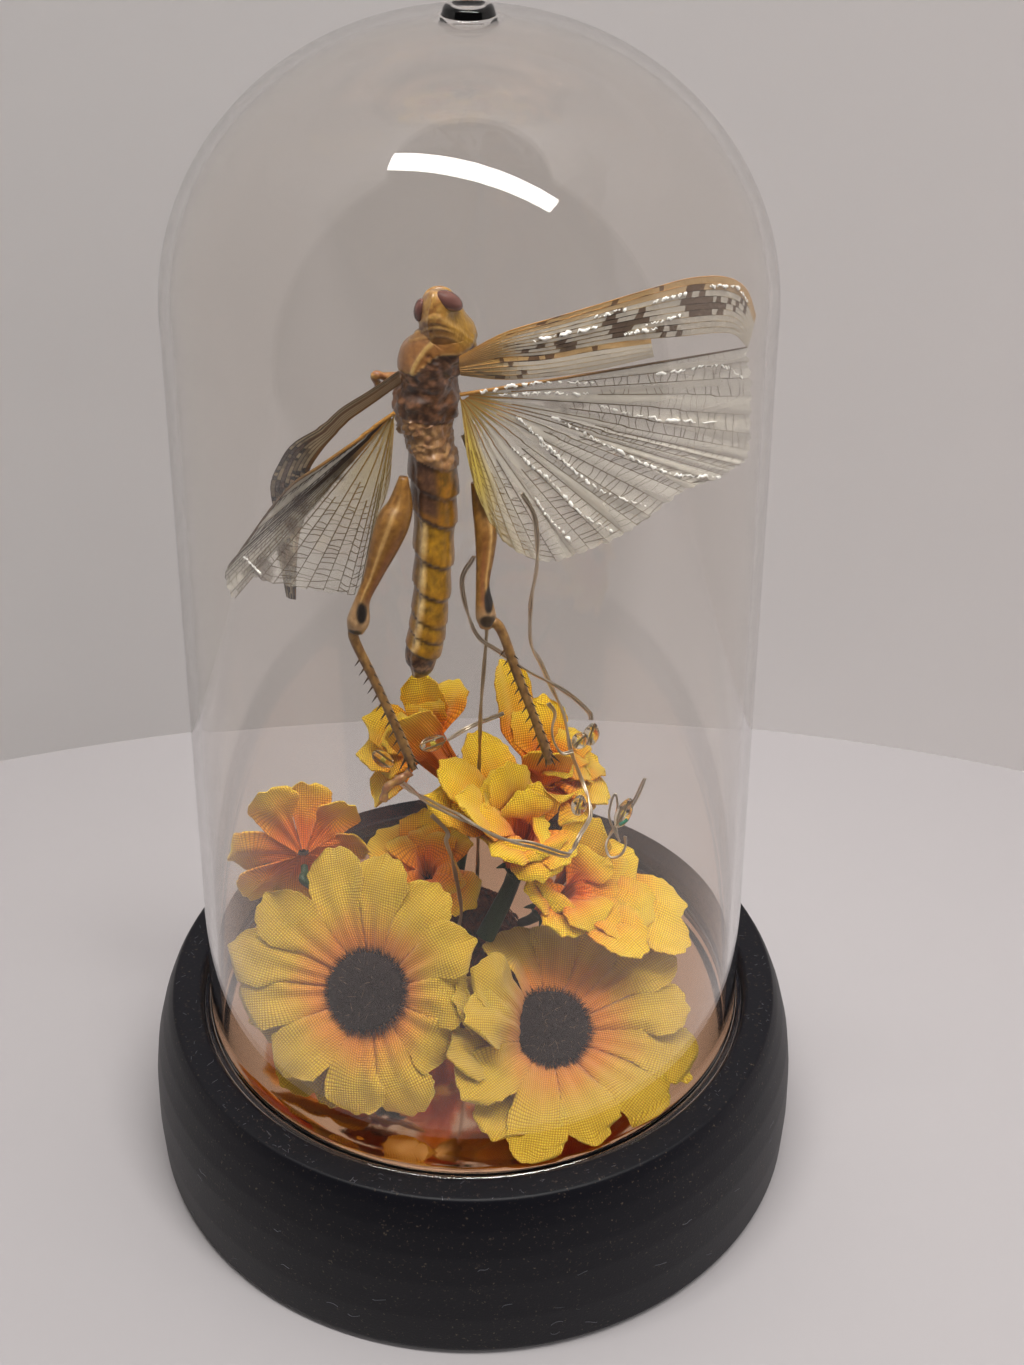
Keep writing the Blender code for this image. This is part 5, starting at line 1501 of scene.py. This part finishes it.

# Each hindwing: its root, its rim from the front edge round to the rear, its ribs as shares of
# the rim, the (x, z) knots of its ridges, whose white flakes are painted glints, and its brown spots
HINDWINGS = {
    "hindwing_right": (
        (-1.6, 0.2, 146.0),
        [(41, -0.1, 153.6), (41.9, 0, 148.5), (42.4, 0, 142), (42.4, 0, 136.1),
         (40.3, -0.2, 134.3), (37.2, -0.4, 132.4), (32.4, -0.8, 130.7), (27.4, -1.1, 126.5),
         (23.2, -1.4, 123.4), (17.5, -1.8, 120.8), (12, -2.1, 119.1), (7.3, -2.4, 120.9),
         (3.8, -2.7, 124.6), (0.9, -2.9, 131.5), (-0.6, -3.1, 138.0)],
        [i / 30 for i in range(30)],
        [[(1.4, 148.4), (10, 148.9), (19, 148.3)], [(4.3, 146.1), (11, 146.5), (17.9, 146.1)],
         [(19.2, 144.1), (26.4, 142.6), (37.1, 141.9)], [(27.2, 148.9), (36.5, 151.0), (40.5, 148.9)],
         [(12.1, 142.5), (19.3, 138.8), (25.5, 135.4), (31.0, 133.4), (37.8, 132.6)],
         [(10.3, 138.5), (13.4, 136.5), (16.5, 133.1), (20.8, 130.3), (26.6, 128.4)],
         [(6.2, 137.9), (9.2, 135.2), (12.3, 132.1), (16.6, 127.6), (21.6, 123.8)],
         [(9.9, 129.7), (12.4, 126.2), (15.3, 122.6)], [(6.7, 142.5), (9.7, 139.8), (12.8, 137.2)]],
        [(12.5, 144.4, 1.4, 0.7, 0.5), (14.1, 143.6, 0.8, 0.8, 0.6), (15.9, 144.3, 1.1, 0.6, 0.5),
         (6.5, 147.2, 1.5, 0.5, 0.8)]),
    "hindwing_left": (
        (-11.4, 0.4, 142.9),
        [(-22.2, 2.2, 134.1), (-28.6, 4.3, 128.3), (-35.8, 6.6, 117.8), (-40.0, 7.8, 111.4),
         (-38.7, 7.3, 106.8), (-36.7, 6.8, 112.5), (-33.9, 5.8, 111.3), (-27.3, 3.6, 111.1),
         (-20.9, 1.4, 111.5), (-17.7, 0.3, 112.7), (-15.7, -0.3, 121.7), (-14.1, -0.8, 126.7),
         (-12.4, -1.3, 131.9), (-11.8, -1.7, 138.2)],
        [0.0, 0.05, 0.1, 0.14, 0.17, 0.2, 0.21, 0.22, 0.23, 0.24, 0.25, 0.26, 0.28, 0.31, 0.34,
         0.37, 0.4, 0.43, 0.46, 0.49, 0.52, 0.55, 0.58, 0.61, 0.64, 0.67, 0.7, 0.75, 0.81, 0.88,
         0.95],
        [[(-36.5, 115.0), (-35.0, 113.4), (-33.6, 112.4)]],
        [(-28.2, 121.8, 1.0, 1.5, 0.8), (-29.4, 116.4, 1.4, 2.4, 0.8), (-26.6, 125.9, 1.3, 2.0, 0.6),
         (-33.2, 113.0, 1.6, 2.6, 0.7), (-18.2, 134.9, 0.6, 1.0, 0.7), (-20.2, 131.4, 1.0, 0.5, 0.8)]),
}
FAN_STEPS = (9, 48)
PLEAT = 0.16
HINDWING_CELL = 1.25
RIB_STARTS = (0.0, 0.35, 0.15, 0.45)


def hindwing_dyer(base, side, spots):
    """The rule for a hindwing's colour and how solid it is; side is 1 on the right."""
    def stain(point, across=0.0, vein=False):
        reach = point - base
        droop = math.degrees(math.atan2(-reach.z, side * reach.x))
        fan = smooth_step(62.0, 76.0, droop)
        if side < 0:
            fan = smooth_step(48.0, 58.0, droop) * smooth_step(30.0, 8.0, reach.length)
        pale = smooth_step(12.0, 22.0, reach.length) if side > 0 else 0.8
        folded = smooth_step(54.0, 50.0, droop) if side < 0 else 0.0
        close = smooth_step(9.0, 3.0, reach.length * (1 + 0.3 * math.sin(droop * 0.9)))
        dark = spotted(spots, point.x, point.z)
        if vein:
            color = blend((0.13, 0.095, 0.06), ORANGE_VEIN, smooth_step(13.0, 4.0, reach.length))
            color = blend(color, (0.30, 0.19, 0.04), fan * 0.7)
            color = blend(color, (0.05, 0.03, 0.02), folded * (across < 0.25))
            return [*blend(color, DEEP_BROWN, dark * 0.6), 1.0]
        color = blend((0.88, 0.83, 0.70), blend(WING_YELLOW, (0.66, 0.54, 0.28), pale), max(fan, close))
        color = blend(color, (0.42, 0.26, 0.09), 0.6 * close)
        cloud = 0.30 + 0.22 * noise.noise(Vector((droop * 0.22, reach.length * 0.06, 0.0)))
        solid = max(cloud if side > 0 else 0.2, (0.8 - 0.45 * pale) * fan, 0.75 * close,
                    0.42 * folded, 0.7 * dark)
        return [*blend(color, (0.17, 0.10, 0.06), dark), solid]
    return stain


membrane = wing_material("hindwing", 0.2, Roughness=0.2, Coat_Weight=0.5, Coat_Roughness=0.08)
for name, (root, outline, ribs, ridges, spots) in HINDWINGS.items():
    grid = fan_grid(root, outline, PLEAT, *FAN_STEPS)
    base, side = Vector(root), 1 if "right" in name else -1
    dye = hindwing_dyer(base, side, spots)
    points, faces = sheet_shape(grid, 0.06)
    add_piece(name + "_sheet", points, faces, membrane, "hindwing", [name], crease=80,
              marks={"stain": [number for point in points for number in dye(point)]})
    veins = [(share, RIB_STARTS[i % 4] if side > 0 or share > 0.3 else 0.0)
             for i, share in enumerate(ribs)]
    webs, tints = vein_web(lambda along, across: at_grid(grid, across, along), veins, HINDWING_CELL,
                           0.07 if side > 0 else 0.085, dye, 0.5)
    edge = smooth_route([base] + [Vector(point) for point in outline[:1 if side > 0 else 4]], 12)
    webs.append(tube_shape(edge, [0.32 - 0.2 * i / len(edge) for i in range(len(edge))], 8))
    tints += [number for point in webs[-1][0]
              for number in [*blend(ORANGE_VEIN, (0.12, 0.08, 0.05), (point - base).length / 25), 1.0]]
    add_piece(name + "_veins", *joined(webs), membrane, "hindwing", crease=80, marks={"stain": tints})
    add_piece(name + "_glints", *film_glints(grid, ridges), painted_glint, "hindwing", crease=80)
